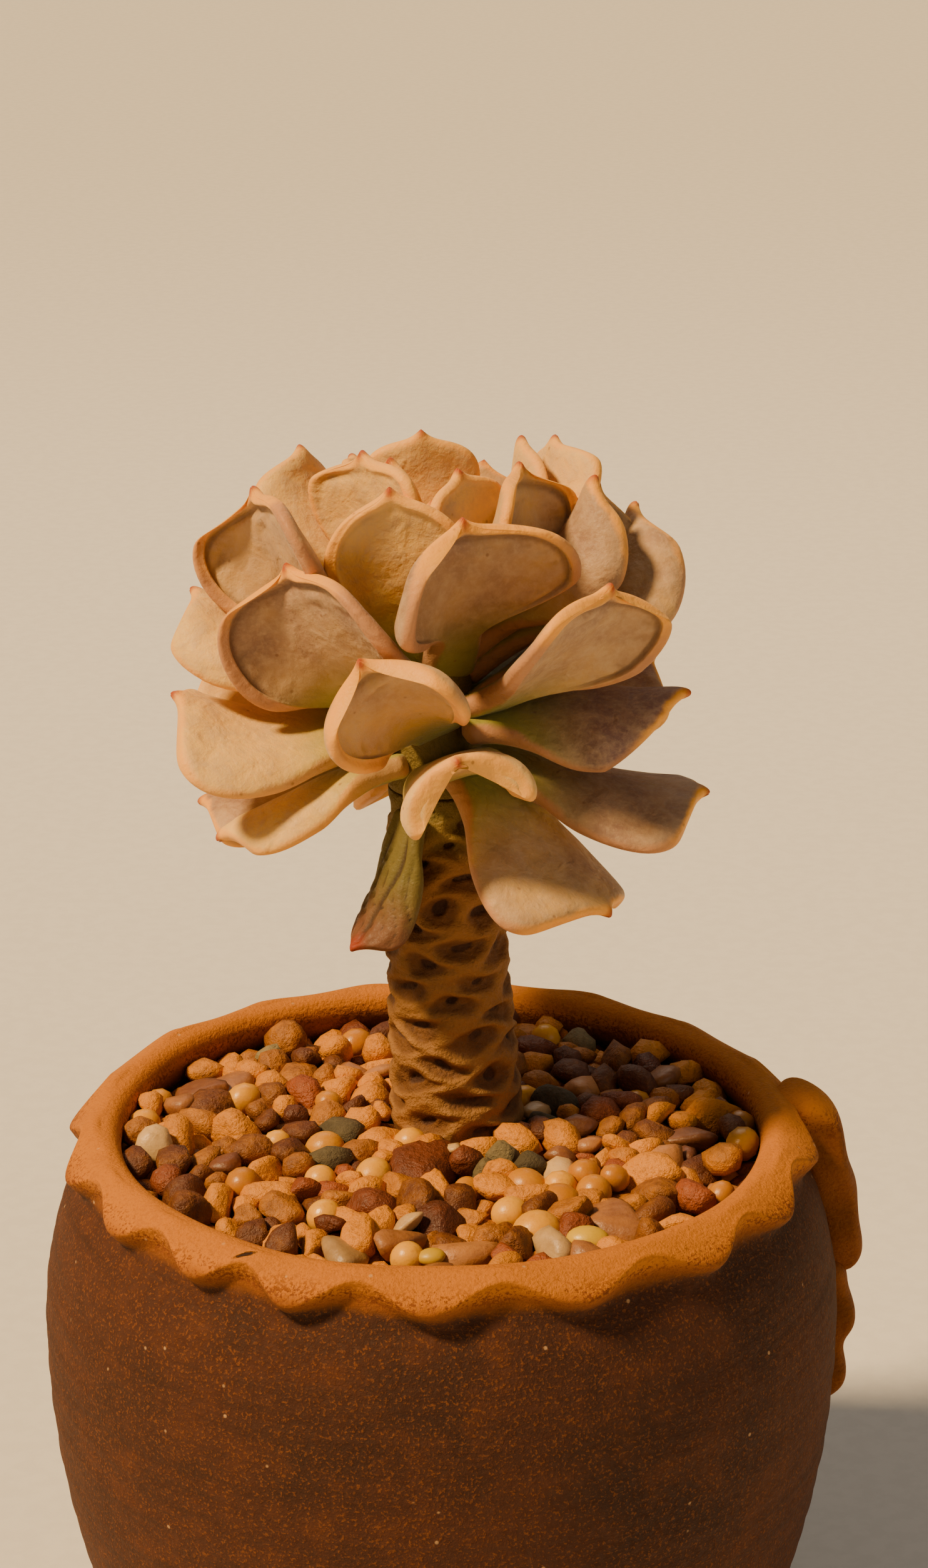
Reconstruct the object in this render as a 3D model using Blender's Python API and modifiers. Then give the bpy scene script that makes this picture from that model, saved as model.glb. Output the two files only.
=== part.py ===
"""Potted succulent: a rosette on a bare stem, in a hand-pinched clay pot.

Units are metres, +Z is up and the origin is the middle of the pot's foot.
Azimuths are in degrees from -Y towards +X, so 0 faces the viewer of the front.
Sizes below are millimetres unless their name says otherwise.
"""

import math
import random
from dataclasses import dataclass, replace

import bmesh
import bpy
import numpy as np

MM = 0.001
GAP = 0.3

# Pot: wall section, height and the rim's hand-pinched lobes
POT_HEIGHT = 74.3
RIM_EDGE_RADIUS = 44.9
RIM_EDGE_HEIGHT = 71.4
RIM_INNER_RADIUS = 38.9
BELLY_RADIUS = 48.8
FOOT_RADIUS = 38.6
FLOOR_THICKNESS = 6.5
TURNING_STEPS = 72
LOBE_FLARE = 1.2
LOBE_DROOP = 1.3
# The azimuth of each lobe's middle, uneven as fingers leave it
LOBE_AZIMUTHS = (
    -56, -38, -22, -1.5, 21, 44, 63, 83, 103,
    123, 143, 163, 183, 203, 223, 244, 264, 284,
)
DRAIN_HOLES = 3
DRAIN_DIAMETER = 5.0
DRAIN_CIRCLE = 12.0

# Crimped strip on the pot's side, as (radius, height) down its middle line
STRIP_AZIMUTH = 99.0
STRIP_WIDTH = 10.0
STRIP_UPPER = ((41.8, 72.6), (45.6, 73.2), (48.4, 69.6), (50.0, 62.5), (51.4, 55.0), (50.6, 51.8), (47.6, 52.6))
STRIP_LOWER = ((46.6, 52.5), (49.6, 50.4), (50.4, 45.0), (49.8, 39.5), (48.8, 34.0), (46.2, 31.5))
STRIP_THICKNESS = 3.4

# Filling
SOIL_TOP = 66.0
BED_TOP = 69.4
FILLING_STEPS = 36
STONE_COUNT = 78
STONE_SIZES = (3.3, 4.4)

# Stem: its axis leans a little to the left as it rises
STEM_FOOT = 50.0
STEM_TOP = 115.0
LEAN_START = 60.0
STEM_BASE_XY = (2.6, 6.0)
STEM_LEAN_XY = (-4.2, -1.0)
STEM_HEIGHTS = (50.0, 64.0, 72.0, 95.0, 110.0, 120.0, 130.0, 136.0)
STEM_RADII = (5.6, 6.4, 7.3, 7.1, 6.2, 5.6, 4.6, 3.0)
STEM_SIDES = 28
STEM_RINGS = 29
# Leaf scars climb the stem a golden angle apart, and the net's ridges run between them
GOLDEN_ANGLE = 137.5
SCAR_RISE = 0.59
FIRST_SCAR = (2.0, 89.0)
NET_FAMILIES = (3, 5)
NET_DEPTH = 0.75

# Leaves
CROWN_TOP = 136.5
ROOT_SUNK = 2.2
WIDTH_GROWTH = 1.7
SECTION_POWER = 0.6
MARGIN_PLATEAU = 0.55
TIP_POINT = 1.2


@dataclass(frozen=True)
class Leaf:
    """One leaf: where it is rooted, how it is held and how it is shaped.

    heading: azimuth that the blade points to
    root: height of its root on the stem
    rise: angle of the blade above the horizontal at its root
    bend: how far the blade has turned upwards by its tip
    length, width: length along the midrib from the stem's skin, width measured round the arch
    left, right: how far each margin has rolled back at the widest place
    roll: turn of the blade about its midrib, left margin down
    root_heading: azimuth of the root itself, where the blade sweeps aside
    full: where along the blade it is widest, 0 to 1
    blunt: how square the blade's end is
    """

    heading: float
    root: float
    rise: float
    bend: float
    length: float
    width: float
    left: float = 70.0
    right: float = 70.0
    roll: float = 0.0
    root_heading: float | None = None
    full: float = 0.80
    blunt: float = 2.6
    thick: float = 3.0
    neck: float = 0.33
    curl: float = 45.0
    sides: int = 12
    rings: int = 8


# The leaves that face the viewer, from the top row to the drooping ones
FRONT_LEAVES = (
    Leaf(16, 130, 48, 22, 23, 31, 92, 55, roll=14, root_heading=34, neck=0.42),
    Leaf(-46, 129, 29, 24, 23, 31, 84, 95, roll=14),
    Leaf(-18, 131.5, 57, 14, 23.5, 20, 40, 40),
    Leaf(-24, 124, 17, 28, 19.5, 27, 108, 90, roll=20, root_heading=10),
    Leaf(10, 121.5, 12, -12, 20, 25, 110, 106),
    Leaf(62, 127, 33, 18, 22.5, 26, 104, 65, roll=8),
    Leaf(78, 123, 7, 12, 25.5, 24, 85, 75, full=0.62, blunt=1.8),
    Leaf(85, 119, -12, 12, 26, 24, 55, 60),
    Leaf(52, 118.5, -31, -2, 23, 28, 40, 60, roll=-8),
    Leaf(-80, 122, 0, 30, 24, 24, 75, 75),
    Leaf(-64, 119, -20, 8, 21.5, 20, 70, 75, roll=22),
    Leaf(-94, 118, -16, 8, 22.5, 18),
    Leaf(-88, 125, 19, 26, 25, 24),
    Leaf(-68, 130.5, 41, 20, 26, 27, 80, 80, roll=14),
    Leaf(-100, 132.5, 52, 20, 24, 19),
    Leaf(99, 127, 36, 20, 29.5, 24),
    Leaf(90, 130, 50, 20, 26, 22, 80, 60),
    Leaf(72, 132.5, 58, 16, 24, 22, 60, 60, roll=-34),
)

# The leaves at the back, turned as the front ones are
BACK_LEAVES = (
    Leaf(184, 131.5, 57, 18, 23.5, 23, 50, 50),
    Leaf(214, 131, 55, 18, 23.5, 19, 60, 60),
    Leaf(146, 131.5, 58, 14, 24.5, 14, 60, 60),
    Leaf(118, 130.5, 53, 18, 26.5, 21, 60, 60),
    Leaf(126, 128, 36, 18, 27, 22),
    Leaf(165, 128, 41, 16, 26, 23, 80, 90, roll=8),
    Leaf(204, 128, 40, 16, 26, 23, 90, 80, roll=-8),
    Leaf(238, 128.5, 42, 18, 25.5, 22),
    Leaf(145, 125, 13, 15, 26, 23, 75, 75),
    Leaf(186, 125, 11, 14, 25.5, 23, 85, 85),
    Leaf(226, 125, 13, 15, 25, 22, 80, 70),
    Leaf(112, 123, 5, 16, 23, 22),
    Leaf(165, 121.5, -6, 10, 25.5, 22, 70, 80),
    Leaf(207, 121.5, -8, 12, 25.5, 22, 80, 70),
    Leaf(247, 122, 2, 20, 24.5, 21),
    Leaf(128, 118.5, -22, 8, 24.5, 21, 60, 70),
    Leaf(184, 118, -28, 6, 23.5, 21, 65, 65),
    Leaf(232, 118.5, -22, 8, 23.5, 20, 70, 60),
)

# The young leaves of the heart stand ever steeper, a golden angle apart
HEART_LEAVES = tuple(
    Leaf(
        heading=-30 + GOLDEN_ANGLE * i,
        root=132.6 + 0.4 * i,
        rise=63 + 3.2 * i,
        bend=12,
        length=21 - 1.7 * i,
        width=17 - 1.2 * i,
        left=50,
        right=50,
        thick=2.6,
        sides=8,
        rings=6,
    )
    for i in range(7)
)

# Its root only touches the stem, and its half thickness stands outside the stem's skin
WITHERED_OUT = ROOT_SUNK + GAP + 0.5
WITHERED_LEAF = Leaf(-40, 114.0, -68, -4, 15.5, 12.5, 70, 60, full=0.9, thick=2.0, neck=0.42, curl=30)


def clear_scene():
    for obj in list(bpy.data.objects):
        bpy.data.objects.remove(obj, do_unlink=True)


def new_collection(name):
    found = bpy.data.collections.new(name)
    bpy.context.scene.collection.children.link(found)
    return found


def new_material(name, colour, roughness):
    found = bpy.data.materials.new(name)
    found.use_nodes = True
    shader = found.node_tree.nodes["Principled BSDF"]
    shader.inputs["Base Color"].default_value = (*colour, 1.0)
    shader.inputs["Roughness"].default_value = roughness
    shader.inputs["Metallic"].default_value = 0.0
    return found


def new_object(name, mesh, collection, material=None):
    found = bpy.data.objects.new(name, mesh)
    collection.objects.link(found)
    if material is not None:
        mesh.materials.append(material)
    return found


def apply_modifiers(obj):
    """Replaces the object's mesh by what its modifiers make of it."""
    graph = bpy.context.evaluated_depsgraph_get()
    mesh = bpy.data.meshes.new_from_object(obj.evaluated_get(graph))
    obj.modifiers.clear()
    obj.data = mesh
    return obj


def boolean(obj, other, operation):
    """Joins or cuts the object with a helper or a collection of helpers, then removes them."""
    modifier = obj.modifiers.new(operation.title(), "BOOLEAN")
    modifier.operation = operation
    modifier.solver = "EXACT"
    if isinstance(other, bpy.types.Collection):
        modifier.operand_type = "COLLECTION"
        modifier.collection = other
        helpers = list(other.objects)
    else:
        modifier.object = other
        helpers = [other]
    bpy.context.view_layer.update()
    apply_modifiers(obj)
    for helper in helpers:
        bpy.data.objects.remove(helper, do_unlink=True)
    return obj


def keep_largest_skin(mesh):
    """Drops each closed surface but the largest: sealed hollows are filled and scraps go."""
    bm = bmesh.new()
    bm.from_mesh(mesh)
    bmesh.ops.dissolve_degenerate(bm, dist=0.000003, edges=bm.edges)
    left = set(bm.faces)
    islands = []
    while left:
        todo = [left.pop()]
        island = []
        while todo:
            face = todo.pop()
            island.append(face)
            for edge in face.edges:
                if len(edge.link_faces) != 2:
                    continue
                for other in edge.link_faces:
                    if other in left:
                        left.remove(other)
                        todo.append(other)
        islands.append(island)
    islands.sort(key=len)
    for island in islands[:-1]:
        bmesh.ops.delete(bm, geom=island, context="FACES")
    loose = [vert for vert in bm.verts if not vert.link_faces]
    bmesh.ops.delete(bm, geom=loose, context="VERTS")
    bm.to_mesh(mesh)
    bm.free()


def smooth(x):
    x = np.clip(x, 0.0, 1.0)
    return x * x * (3.0 - 2.0 * x)


def outward(azimuth):
    a = math.radians(azimuth)
    return np.array([math.sin(a), -math.cos(a), 0.0])


def shaped_sphere(name, around, along, formula, collection, material=None):
    """A sphere primitive whose points are moved by formula(s, turn).

    s runs from 0 to 1 from the lower pole to the upper one, evenly by rings,
    and turn is the angle round the pole. The formula returns millimetres.
    """
    mesh = bpy.data.meshes.new(name)
    bm = bmesh.new()
    bmesh.ops.create_uvsphere(bm, u_segments=around, v_segments=along, radius=1.0)
    bm.verts.ensure_lookup_table()
    unit = np.array([v.co for v in bm.verts])
    s = 1.0 - np.arccos(np.clip(unit[:, 2], -1.0, 1.0)) / math.pi
    turn = np.arctan2(unit[:, 1], unit[:, 0])
    for vert, point in zip(bm.verts, formula(s, turn) * MM):
        vert.co = point
    bm.to_mesh(mesh)
    bm.free()
    return new_object(name, mesh, collection, material)


def stem_axis(height):
    """The points of the stem's axis at these heights."""
    height = np.asarray(height, float)
    along = np.clip((height - LEAN_START) / 80.0, 0.0, 1.2)
    x = STEM_BASE_XY[0] + STEM_LEAN_XY[0] * along
    y = STEM_BASE_XY[1] + STEM_LEAN_XY[1] * along
    return np.stack([x, y, height], -1)


def stem_radius(height):
    return np.interp(height, STEM_HEIGHTS, STEM_RADII)


def leaf_points(leaf, s, turn):
    """The points of a leaf's skin in millimetres.

    The midrib is an arc that bends up towards the heart. Across it the blade
    is an arch whose margins roll back further the nearer they are to the edge,
    and the thickness stands off that arch along its normal.
    """
    # The first ring lies just past the root, and the rings crowd towards the tip
    first = 1.0 / leaf.rings
    late = np.clip((s - first) / (1.0 - first), 0.0, 0.9999)
    s = 0.03 * np.clip(s / first, 0.05, 1.0) + 0.97 * (1.0 - (1.0 - late) ** 1.6)
    azimuth, rise, roll = (math.radians(a) for a in (leaf.heading, leaf.rise, leaf.roll))
    along = np.array([
        math.sin(azimuth) * math.cos(rise),
        -math.cos(azimuth) * math.cos(rise),
        math.sin(rise),
    ])
    level = np.array([math.cos(azimuth), math.sin(azimuth), 0.0])
    upper = np.cross(along, level)
    side = level * math.cos(roll) + upper * math.sin(roll)
    upper = upper * math.cos(roll) - level * math.sin(roll)

    # Midrib by summing short steps
    steps = np.linspace(0.0, 1.0, 81)
    angle = math.radians(leaf.bend) * steps**WIDTH_GROWTH
    tangents = np.cos(angle)[:, None] * along + np.sin(angle)[:, None] * upper
    length = leaf.length + ROOT_SUNK
    middles = (tangents[1:] + tangents[:-1]) / 2.0 * (steps[1] * length)
    rib = np.concatenate([np.zeros((1, 3)), np.cumsum(middles, 0)])
    here = np.stack([np.interp(s, steps, rib[:, k]) for k in range(3)], -1)
    angle = math.radians(leaf.bend) * s**WIDTH_GROWTH
    tangent = np.cos(angle)[:, None] * along + np.sin(angle)[:, None] * upper
    normal = np.cos(angle)[:, None] * upper - np.sin(angle)[:, None] * along

    # Half width and thickness along the blade
    body = leaf.neck + (1.0 - leaf.neck) * smooth(s / leaf.full)
    start = leaf.full - 0.03
    end = np.clip((s - start) / (1.0 - start), 0.0, 1.0)
    end = (1.0 - end**leaf.blunt) ** (1.0 / leaf.blunt)
    base = np.sqrt(1.0 - np.clip(1.0 - s / 0.06, 0.0, 1.0) ** 2)
    half_width = leaf.width / 2.0 * body * end * base
    last = np.clip((s - 0.82) / 0.18, 0.0, 1.0)
    thick = leaf.thick * (1.0 - 0.35 * np.clip((s - 0.3) / 0.6, 0.0, 1.0))
    thick = thick * (1.0 - last**2.5) ** 0.4 * base

    # Arch across the blade, summed from the midrib to each point
    across = np.cos(turn)
    lift = np.sign(np.sin(turn)) * np.abs(np.sin(turn)) ** SECTION_POWER
    rolled = np.radians(np.where(across >= 0, leaf.right, leaf.left))
    grow = np.clip(s / MARGIN_PLATEAU, 0.0, 1.0) ** 1.3
    cuts = np.linspace(0.0, 1.0, 25)[None, :] * np.abs(across)[:, None]
    turned = (rolled * grow)[:, None] * (0.55 * cuts + 0.45 * cuts**3)
    turned = turned + math.radians(leaf.curl) * grow[:, None] * cuts**8
    cosines, sines = np.cos(turned), np.sin(turned)
    widths = np.diff(cuts, axis=1)
    reach = ((cosines[:, 1:] + cosines[:, :-1]) / 2.0 * widths).sum(1) * half_width
    drop = ((sines[:, 1:] + sines[:, :-1]) / 2.0 * widths).sum(1) * half_width
    edge = turned[:, -1]
    hand = np.where(across >= 0, 1.0, -1.0)
    x = hand * (reach + lift * thick / 2.0 * np.sin(edge))
    z = lift * thick / 2.0 * np.cos(edge) - drop

    tip = np.exp(-(((1.0 - s) / 0.035) ** 2)) * TIP_POINT
    heading = leaf.heading if leaf.root_heading is None else leaf.root_heading
    foot = stem_axis(leaf.root) + outward(heading) * (stem_radius(leaf.root) - ROOT_SUNK)
    points = foot + here + x[:, None] * side + z[:, None] * normal
    return points + tip[:, None] * (0.85 * tangent + 0.5 * normal)


def crown_points(s, turn):
    """The growing crown that the leaves' roots sink into, flat where it sits on the stem."""
    ring = np.clip((s - 0.1) / 0.9, 0.0, 1.0)
    height = STEM_TOP + GAP + (CROWN_TOP - STEM_TOP - GAP) * ring
    radius = stem_radius(height) * np.sqrt(1.0 - np.clip((ring - 0.6) / 0.4, 0.0, 1.0) ** 2)
    radius = np.where(s < 0.05, 0.0, radius)
    centre = stem_axis(height)
    spread = np.stack([np.cos(turn), np.sin(turn), np.zeros_like(turn)], -1)
    return centre + radius[:, None] * spread


def stem_points(s, turn):
    """The stem, with a raised net of slanting cells round its sunken leaf scars."""
    rings = np.clip((s * STEM_RINGS - 1.0) / (STEM_RINGS - 2.0), 0.0, 1.0)
    height = np.interp(rings, (0.0, 0.12, 1.0), (STEM_FOOT, 68.0, STEM_TOP))
    azimuth = np.degrees(np.arctan2(np.cos(turn), -np.sin(turn)))
    climbed = (height - FIRST_SCAR[1]) / SCAR_RISE
    cell = np.ones_like(height)
    for family in NET_FAMILIES:
        turns = family * GOLDEN_ANGLE / 360.0
        drift = turns - round(turns)
        cell = cell * np.abs(np.cos(math.pi * (family * (azimuth - FIRST_SCAR[0]) / 360.0 + drift * climbed)))
    shown = smooth((height - 71.0) / 4.0) * (1.0 - smooth((height - 112.0) / 2.0))
    radius = stem_radius(height) - NET_DEPTH * shown * cell**0.6
    radius = np.where((s < 0.5 / STEM_RINGS) | (s > 1.0 - 0.5 / STEM_RINGS), 0.0, radius)
    spread = np.stack([np.cos(turn), np.sin(turn), np.zeros_like(turn)], -1)
    return stem_axis(height) + radius[:, None] * spread


def strip_formula(line):
    """A flat rounded band along a line of (radius, height), its waves crimped across."""
    line = np.array(line, float)
    lengths = np.concatenate([[0.0], np.cumsum(np.hypot(*np.diff(line, axis=0).T))])
    lengths /= lengths[-1]

    def formula(s, turn):
        r = np.interp(s, lengths, line[:, 0])
        z = np.interp(s, lengths, line[:, 1])
        step = 0.02
        dr = np.interp(s + step, lengths, line[:, 0]) - np.interp(s - step, lengths, line[:, 0])
        dz = np.interp(s + step, lengths, line[:, 1]) - np.interp(s - step, lengths, line[:, 1])
        size = np.hypot(dr, dz) + 1e-9
        round_off = np.sqrt(np.clip(1.0 - np.abs(2.0 * s - 1.0) ** 6, 0.0, 1.0))
        thick = STRIP_THICKNESS / 2.0 * np.sin(turn) * round_off
        crimped = 1.0 + 0.14 * np.sin(3.0 * math.tau * s)
        wide = STRIP_WIDTH / 2.0 * np.sign(np.cos(turn)) * np.abs(np.cos(turn)) ** 0.7 * round_off * crimped
        r = r - thick * dz / size
        z = z + thick * dr / size
        out = outward(STRIP_AZIMUTH)
        tangent = np.array([-out[1], out[0], 0.0])
        up = np.array([0.0, 0.0, 1.0])
        return r[:, None] * out + wide[:, None] * tangent + z[:, None] * up

    return formula


def turned_solid(name, profile, collection, material=None, steps=TURNING_STEPS):
    """A profile of (radius, height) in the XZ plane, turned about Z by a Screw modifier."""
    mesh = bpy.data.meshes.new(name)
    bm = bmesh.new()
    verts = [bm.verts.new((r * MM, 0.0, z * MM)) for r, z in profile]
    for first, second in zip(verts, verts[1:]):
        bm.edges.new((first, second))
    bm.to_mesh(mesh)
    bm.free()
    obj = new_object(name, mesh, collection, material)
    screw = obj.modifiers.new("Screw", "SCREW")
    screw.axis = "Z"
    screw.angle = math.tau
    screw.steps = steps
    screw.render_steps = steps
    screw.use_merge_vertices = True
    screw.merge_threshold = 0.00001
    bpy.context.view_layer.update()
    return obj


def shade(obj, angle=40.0):
    obj.data.shade_smooth()
    obj.data.set_sharp_from_angle(angle=math.radians(angle))


def cutter_cylinder(name, radius, bottom, top, xy, collection, sides=32):
    mesh = bpy.data.meshes.new(name)
    bm = bmesh.new()
    bmesh.ops.create_cone(
        bm, cap_ends=True, segments=sides,
        radius1=radius * MM, radius2=radius * MM, depth=(top - bottom) * MM,
    )
    bm.to_mesh(mesh)
    bm.free()
    obj = new_object(name, mesh, collection)
    obj.location = (xy[0] * MM, xy[1] * MM, (top + bottom) / 2.0 * MM)
    obj.hide_render = True
    obj.display_type = "WIRE"
    bpy.context.view_layer.update()
    return obj


INNER_WALL = ((34.0, FLOOR_THICKNESS), (42.0, 17.0), (43.8, 45.0), (42.2, 62.0))
OUTER_WALL = ((44.0, 68.4), (46.5, 63.6), (48.5, 55.0), (BELLY_RADIUS, 45.0), (47.9, 33.0),
              (45.4, 20.0), (41.5, 7.0), (FOOT_RADIUS + 0.7, 1.2), (FOOT_RADIUS, 0.0))


def pinch_rim(mesh):
    """Moves the rim out and down in each lobe, and in and up between them."""
    count = len(mesh.vertices)
    points = np.zeros(count * 3)
    mesh.vertices.foreach_get("co", points)
    points = points.reshape(-1, 3) / MM
    radius = np.hypot(points[:, 0], points[:, 1])
    even = np.degrees(np.arctan2(points[:, 0], -points[:, 1])) % 360.0
    lobes = len(LOBE_AZIMUTHS)
    phase = even * lobes / 360.0
    around = np.array([*LOBE_AZIMUTHS, LOBE_AZIMUTHS[0] + 360.0, LOBE_AZIMUTHS[1] + 360.0])
    azimuth = np.radians(np.interp(phase, np.arange(len(around)), around))
    wave = 2.0 * np.abs(np.cos(math.pi * phase)) ** 0.7 - 1.0
    flare = np.clip((radius - 41.3) / (RIM_EDGE_RADIUS - 41.3), 0.0, 1.0)
    flare = flare * np.clip((points[:, 2] - 68.0) / 2.0, 0.0, 1.0)
    radius = radius + LOBE_FLARE * wave * flare
    points[:, 2] -= LOBE_DROOP * wave * flare
    points[:, 0] = radius * np.sin(azimuth)
    points[:, 1] = -radius * np.cos(azimuth)
    mesh.vertices.foreach_set("co", (points * MM).ravel())
    mesh.update()


def make_pot(parts, helpers, material):
    rim = ((RIM_INNER_RADIUS, 72.0), (39.8, 73.8), (41.6, POT_HEIGHT), (43.4, 73.2),
           (RIM_EDGE_RADIUS, RIM_EDGE_HEIGHT), (44.6, 70.0))
    profile = ((0.0, FLOOR_THICKNESS), *INNER_WALL, *rim, *OUTER_WALL, (0.0, 0.0))
    pot = turned_solid("pot", profile, parts, material)
    apply_modifiers(pot)
    pinch_rim(pot.data)
    strips = bpy.data.collections.new("strips")
    helpers.children.link(strips)
    shaped_sphere("strip_upper", 8, 13, strip_formula(STRIP_UPPER), strips)
    shaped_sphere("strip_lower", 8, 11, strip_formula(STRIP_LOWER), strips)
    boolean(pot, strips, "UNION")
    for i in range(DRAIN_HOLES):
        at = outward(60.0 + 360.0 / DRAIN_HOLES * i) * DRAIN_CIRCLE
        hole = cutter_cylinder("drain", DRAIN_DIAMETER / 2.0, -2.0, FLOOR_THICKNESS + 2.0, at[:2], helpers, 16)
        boolean(pot, hole, "DIFFERENCE")
    shade(pot)
    return pot


def make_soil(parts, helpers, material):
    profile = [(0.0, SOIL_TOP), (40.5, SOIL_TOP), (42.2 - GAP, 62.0 - 0.4)]
    profile += [(r - GAP - 0.1, z) for r, z in reversed(INNER_WALL[1:3])]
    profile += [(34.0 - 0.2, FLOOR_THICKNESS + GAP), (0.0, FLOOR_THICKNESS + GAP)]
    soil = turned_solid("potting_soil", profile, parts, material, FILLING_STEPS)
    apply_modifiers(soil)
    hole = cutter_cylinder("stem_hole", 7.0, STEM_FOOT - GAP, SOIL_TOP + 5.0, STEM_BASE_XY, helpers)
    boolean(soil, hole, "DIFFERENCE")
    shade(soil)
    return soil


def make_gravel(parts, helpers, material):
    """A bed of stones on the soil, the stones set out by a sunflower spiral with a seeded jitter."""
    rng = random.Random(7)
    bed = turned_solid(
        "gravel_topdressing",
        ((0.0, BED_TOP), (39.3, BED_TOP), (40.4, SOIL_TOP + GAP), (0.0, SOIL_TOP + GAP)),
        parts, material, FILLING_STEPS,
    )
    apply_modifiers(bed)
    stones = bpy.data.collections.new("stones")
    helpers.children.link(stones)
    for i in range(STONE_COUNT):
        size = rng.uniform(*STONE_SIZES)
        out = 36.4 * math.sqrt((i + 0.5) / STONE_COUNT) + rng.uniform(-0.5, 0.5)
        out = min(out, 38.4 - 1.18 * size)
        azimuth = GOLDEN_ANGLE * i + rng.uniform(-4, 4)
        x, y, _ = outward(azimuth) * out
        if math.hypot(x - STEM_BASE_XY[0], y - STEM_BASE_XY[1]) < 7.5:
            continue
        mesh = bpy.data.meshes.new("stone")
        bm = bmesh.new()
        bmesh.ops.create_icosphere(bm, subdivisions=1, radius=1.0)
        stretch = (rng.uniform(0.9, 1.25), rng.uniform(0.8, 1.0), rng.uniform(0.65, 0.9))
        for vert in bm.verts:
            knock = rng.uniform(0.88, 1.08)
            vert.co = [vert.co[k] * stretch[k] * size * knock * MM for k in range(3)]
        bm.to_mesh(mesh)
        bm.free()
        stone = new_object("stone", mesh, stones)
        stone.rotation_euler = (rng.uniform(-0.5, 0.5), rng.uniform(-0.5, 0.5), rng.uniform(0, math.tau))
        stone.location = (x * MM, y * MM, (BED_TOP + rng.uniform(-0.2, 0.9)) * MM)
    bpy.context.view_layer.update()
    boolean(bed, stones, "UNION")
    middle = stem_axis(69.0)
    hole = cutter_cylinder("stem_hole", 7.9, SOIL_TOP - 3.0, BED_TOP + 9.0, middle[:2], helpers)
    boolean(bed, hole, "DIFFERENCE")
    shade(bed, 20.0)
    return bed


def make_rosette(parts, helpers, material):
    """All the leaves, joined where their roots sink into the crown."""
    rosette = shaped_sphere("rosette", 16, 10, crown_points, parts, material)
    blades = bpy.data.collections.new("blades")
    helpers.children.link(blades)
    back = tuple(replace(leaf, sides=10, rings=7) for leaf in BACK_LEAVES)
    for leaf in (*FRONT_LEAVES, *back, *HEART_LEAVES):
        shaped_sphere(
            "blade", leaf.sides, leaf.rings,
            lambda s, turn, one=leaf: leaf_points(one, s, turn), blades,
        )
    bpy.context.view_layer.update()
    boolean(rosette, blades, "UNION")
    keep_largest_skin(rosette.data)
    shade(rosette, 50.0)
    return rosette


def main():
    clear_scene()
    parts = new_collection("potted_succulent")
    helpers = new_collection("helpers")
    clay = new_material("unglazed brown clay", (0.26, 0.115, 0.05), 0.88)
    soil = new_material("potting soil", (0.035, 0.022, 0.015), 0.95)
    stones = new_material("clay granules and pebbles", (0.48, 0.20, 0.06), 0.9)
    bark = new_material("succulent stem skin", (0.34, 0.21, 0.07), 0.75)
    leaf = new_material("powdery mauve leaf", (0.42, 0.32, 0.24), 0.55)
    dry = new_material("withered leaf", (0.36, 0.22, 0.14), 0.7)
    make_pot(parts, helpers, clay)
    make_soil(parts, helpers, soil)
    make_gravel(parts, helpers, stones)
    stem = shaped_sphere("stem", STEM_SIDES, STEM_RINGS, stem_points, parts, bark)
    shade(stem, 60.0)
    make_rosette(parts, helpers, leaf)
    withered = shaped_sphere(
        "withered_leaf", WITHERED_LEAF.sides, WITHERED_LEAF.rings,
        lambda s, turn: leaf_points(WITHERED_LEAF, s, turn) + outward(WITHERED_LEAF.heading) * WITHERED_OUT,
        parts, dry,
    )
    shade(withered)


main()
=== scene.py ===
"""The looks of a potted succulent: a mauve rosette on a scarred stem in a hand-pinched clay pot.

Every new surface is a formula worked out in millimetres on a whole grid of points at once, and
turned to metres as it becomes a mesh. +Z is up, the origin is the middle of the pot's foot, and
azimuths run in degrees from -Y, where the viewer stands, towards +X.
"""

import logging
import math
from dataclasses import dataclass, field
from enum import Enum

import bpy
import numpy as np
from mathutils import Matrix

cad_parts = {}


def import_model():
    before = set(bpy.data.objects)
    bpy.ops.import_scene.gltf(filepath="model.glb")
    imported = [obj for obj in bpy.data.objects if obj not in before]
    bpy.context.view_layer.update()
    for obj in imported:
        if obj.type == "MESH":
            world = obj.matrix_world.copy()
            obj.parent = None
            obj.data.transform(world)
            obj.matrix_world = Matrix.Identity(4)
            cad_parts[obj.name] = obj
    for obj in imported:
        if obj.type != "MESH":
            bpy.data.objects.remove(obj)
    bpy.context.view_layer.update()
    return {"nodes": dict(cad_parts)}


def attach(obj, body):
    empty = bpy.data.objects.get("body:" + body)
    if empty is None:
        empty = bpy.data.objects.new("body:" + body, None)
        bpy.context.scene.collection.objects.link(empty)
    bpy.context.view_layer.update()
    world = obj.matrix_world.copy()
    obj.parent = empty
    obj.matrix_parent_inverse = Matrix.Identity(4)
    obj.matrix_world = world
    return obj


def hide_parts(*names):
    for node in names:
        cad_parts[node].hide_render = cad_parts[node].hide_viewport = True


LOG = logging.getLogger("potted_succulent")
MM = 0.001
BODY = "root"
IMAGE_SIZE = (1484, 2508)
GOLDEN_ANGLE = 137.5
ONCE_ROUND = 2.0 * math.pi
SPECK_CORE, SPECK_FADE = 0.05, 0.06

# A drawn line: its points in the plane of one azimuth, each a radius and a height
Line = tuple[tuple[float, float], ...]


# ---------------------------------------------------------------- surfaces


@dataclass
class Surface:
    """A skin: its points in millimetres, its faces, and the values that each point carries."""

    points: np.ndarray
    quads: np.ndarray
    triangles: np.ndarray
    values: dict[str, np.ndarray] = field(default_factory=dict)


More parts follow.
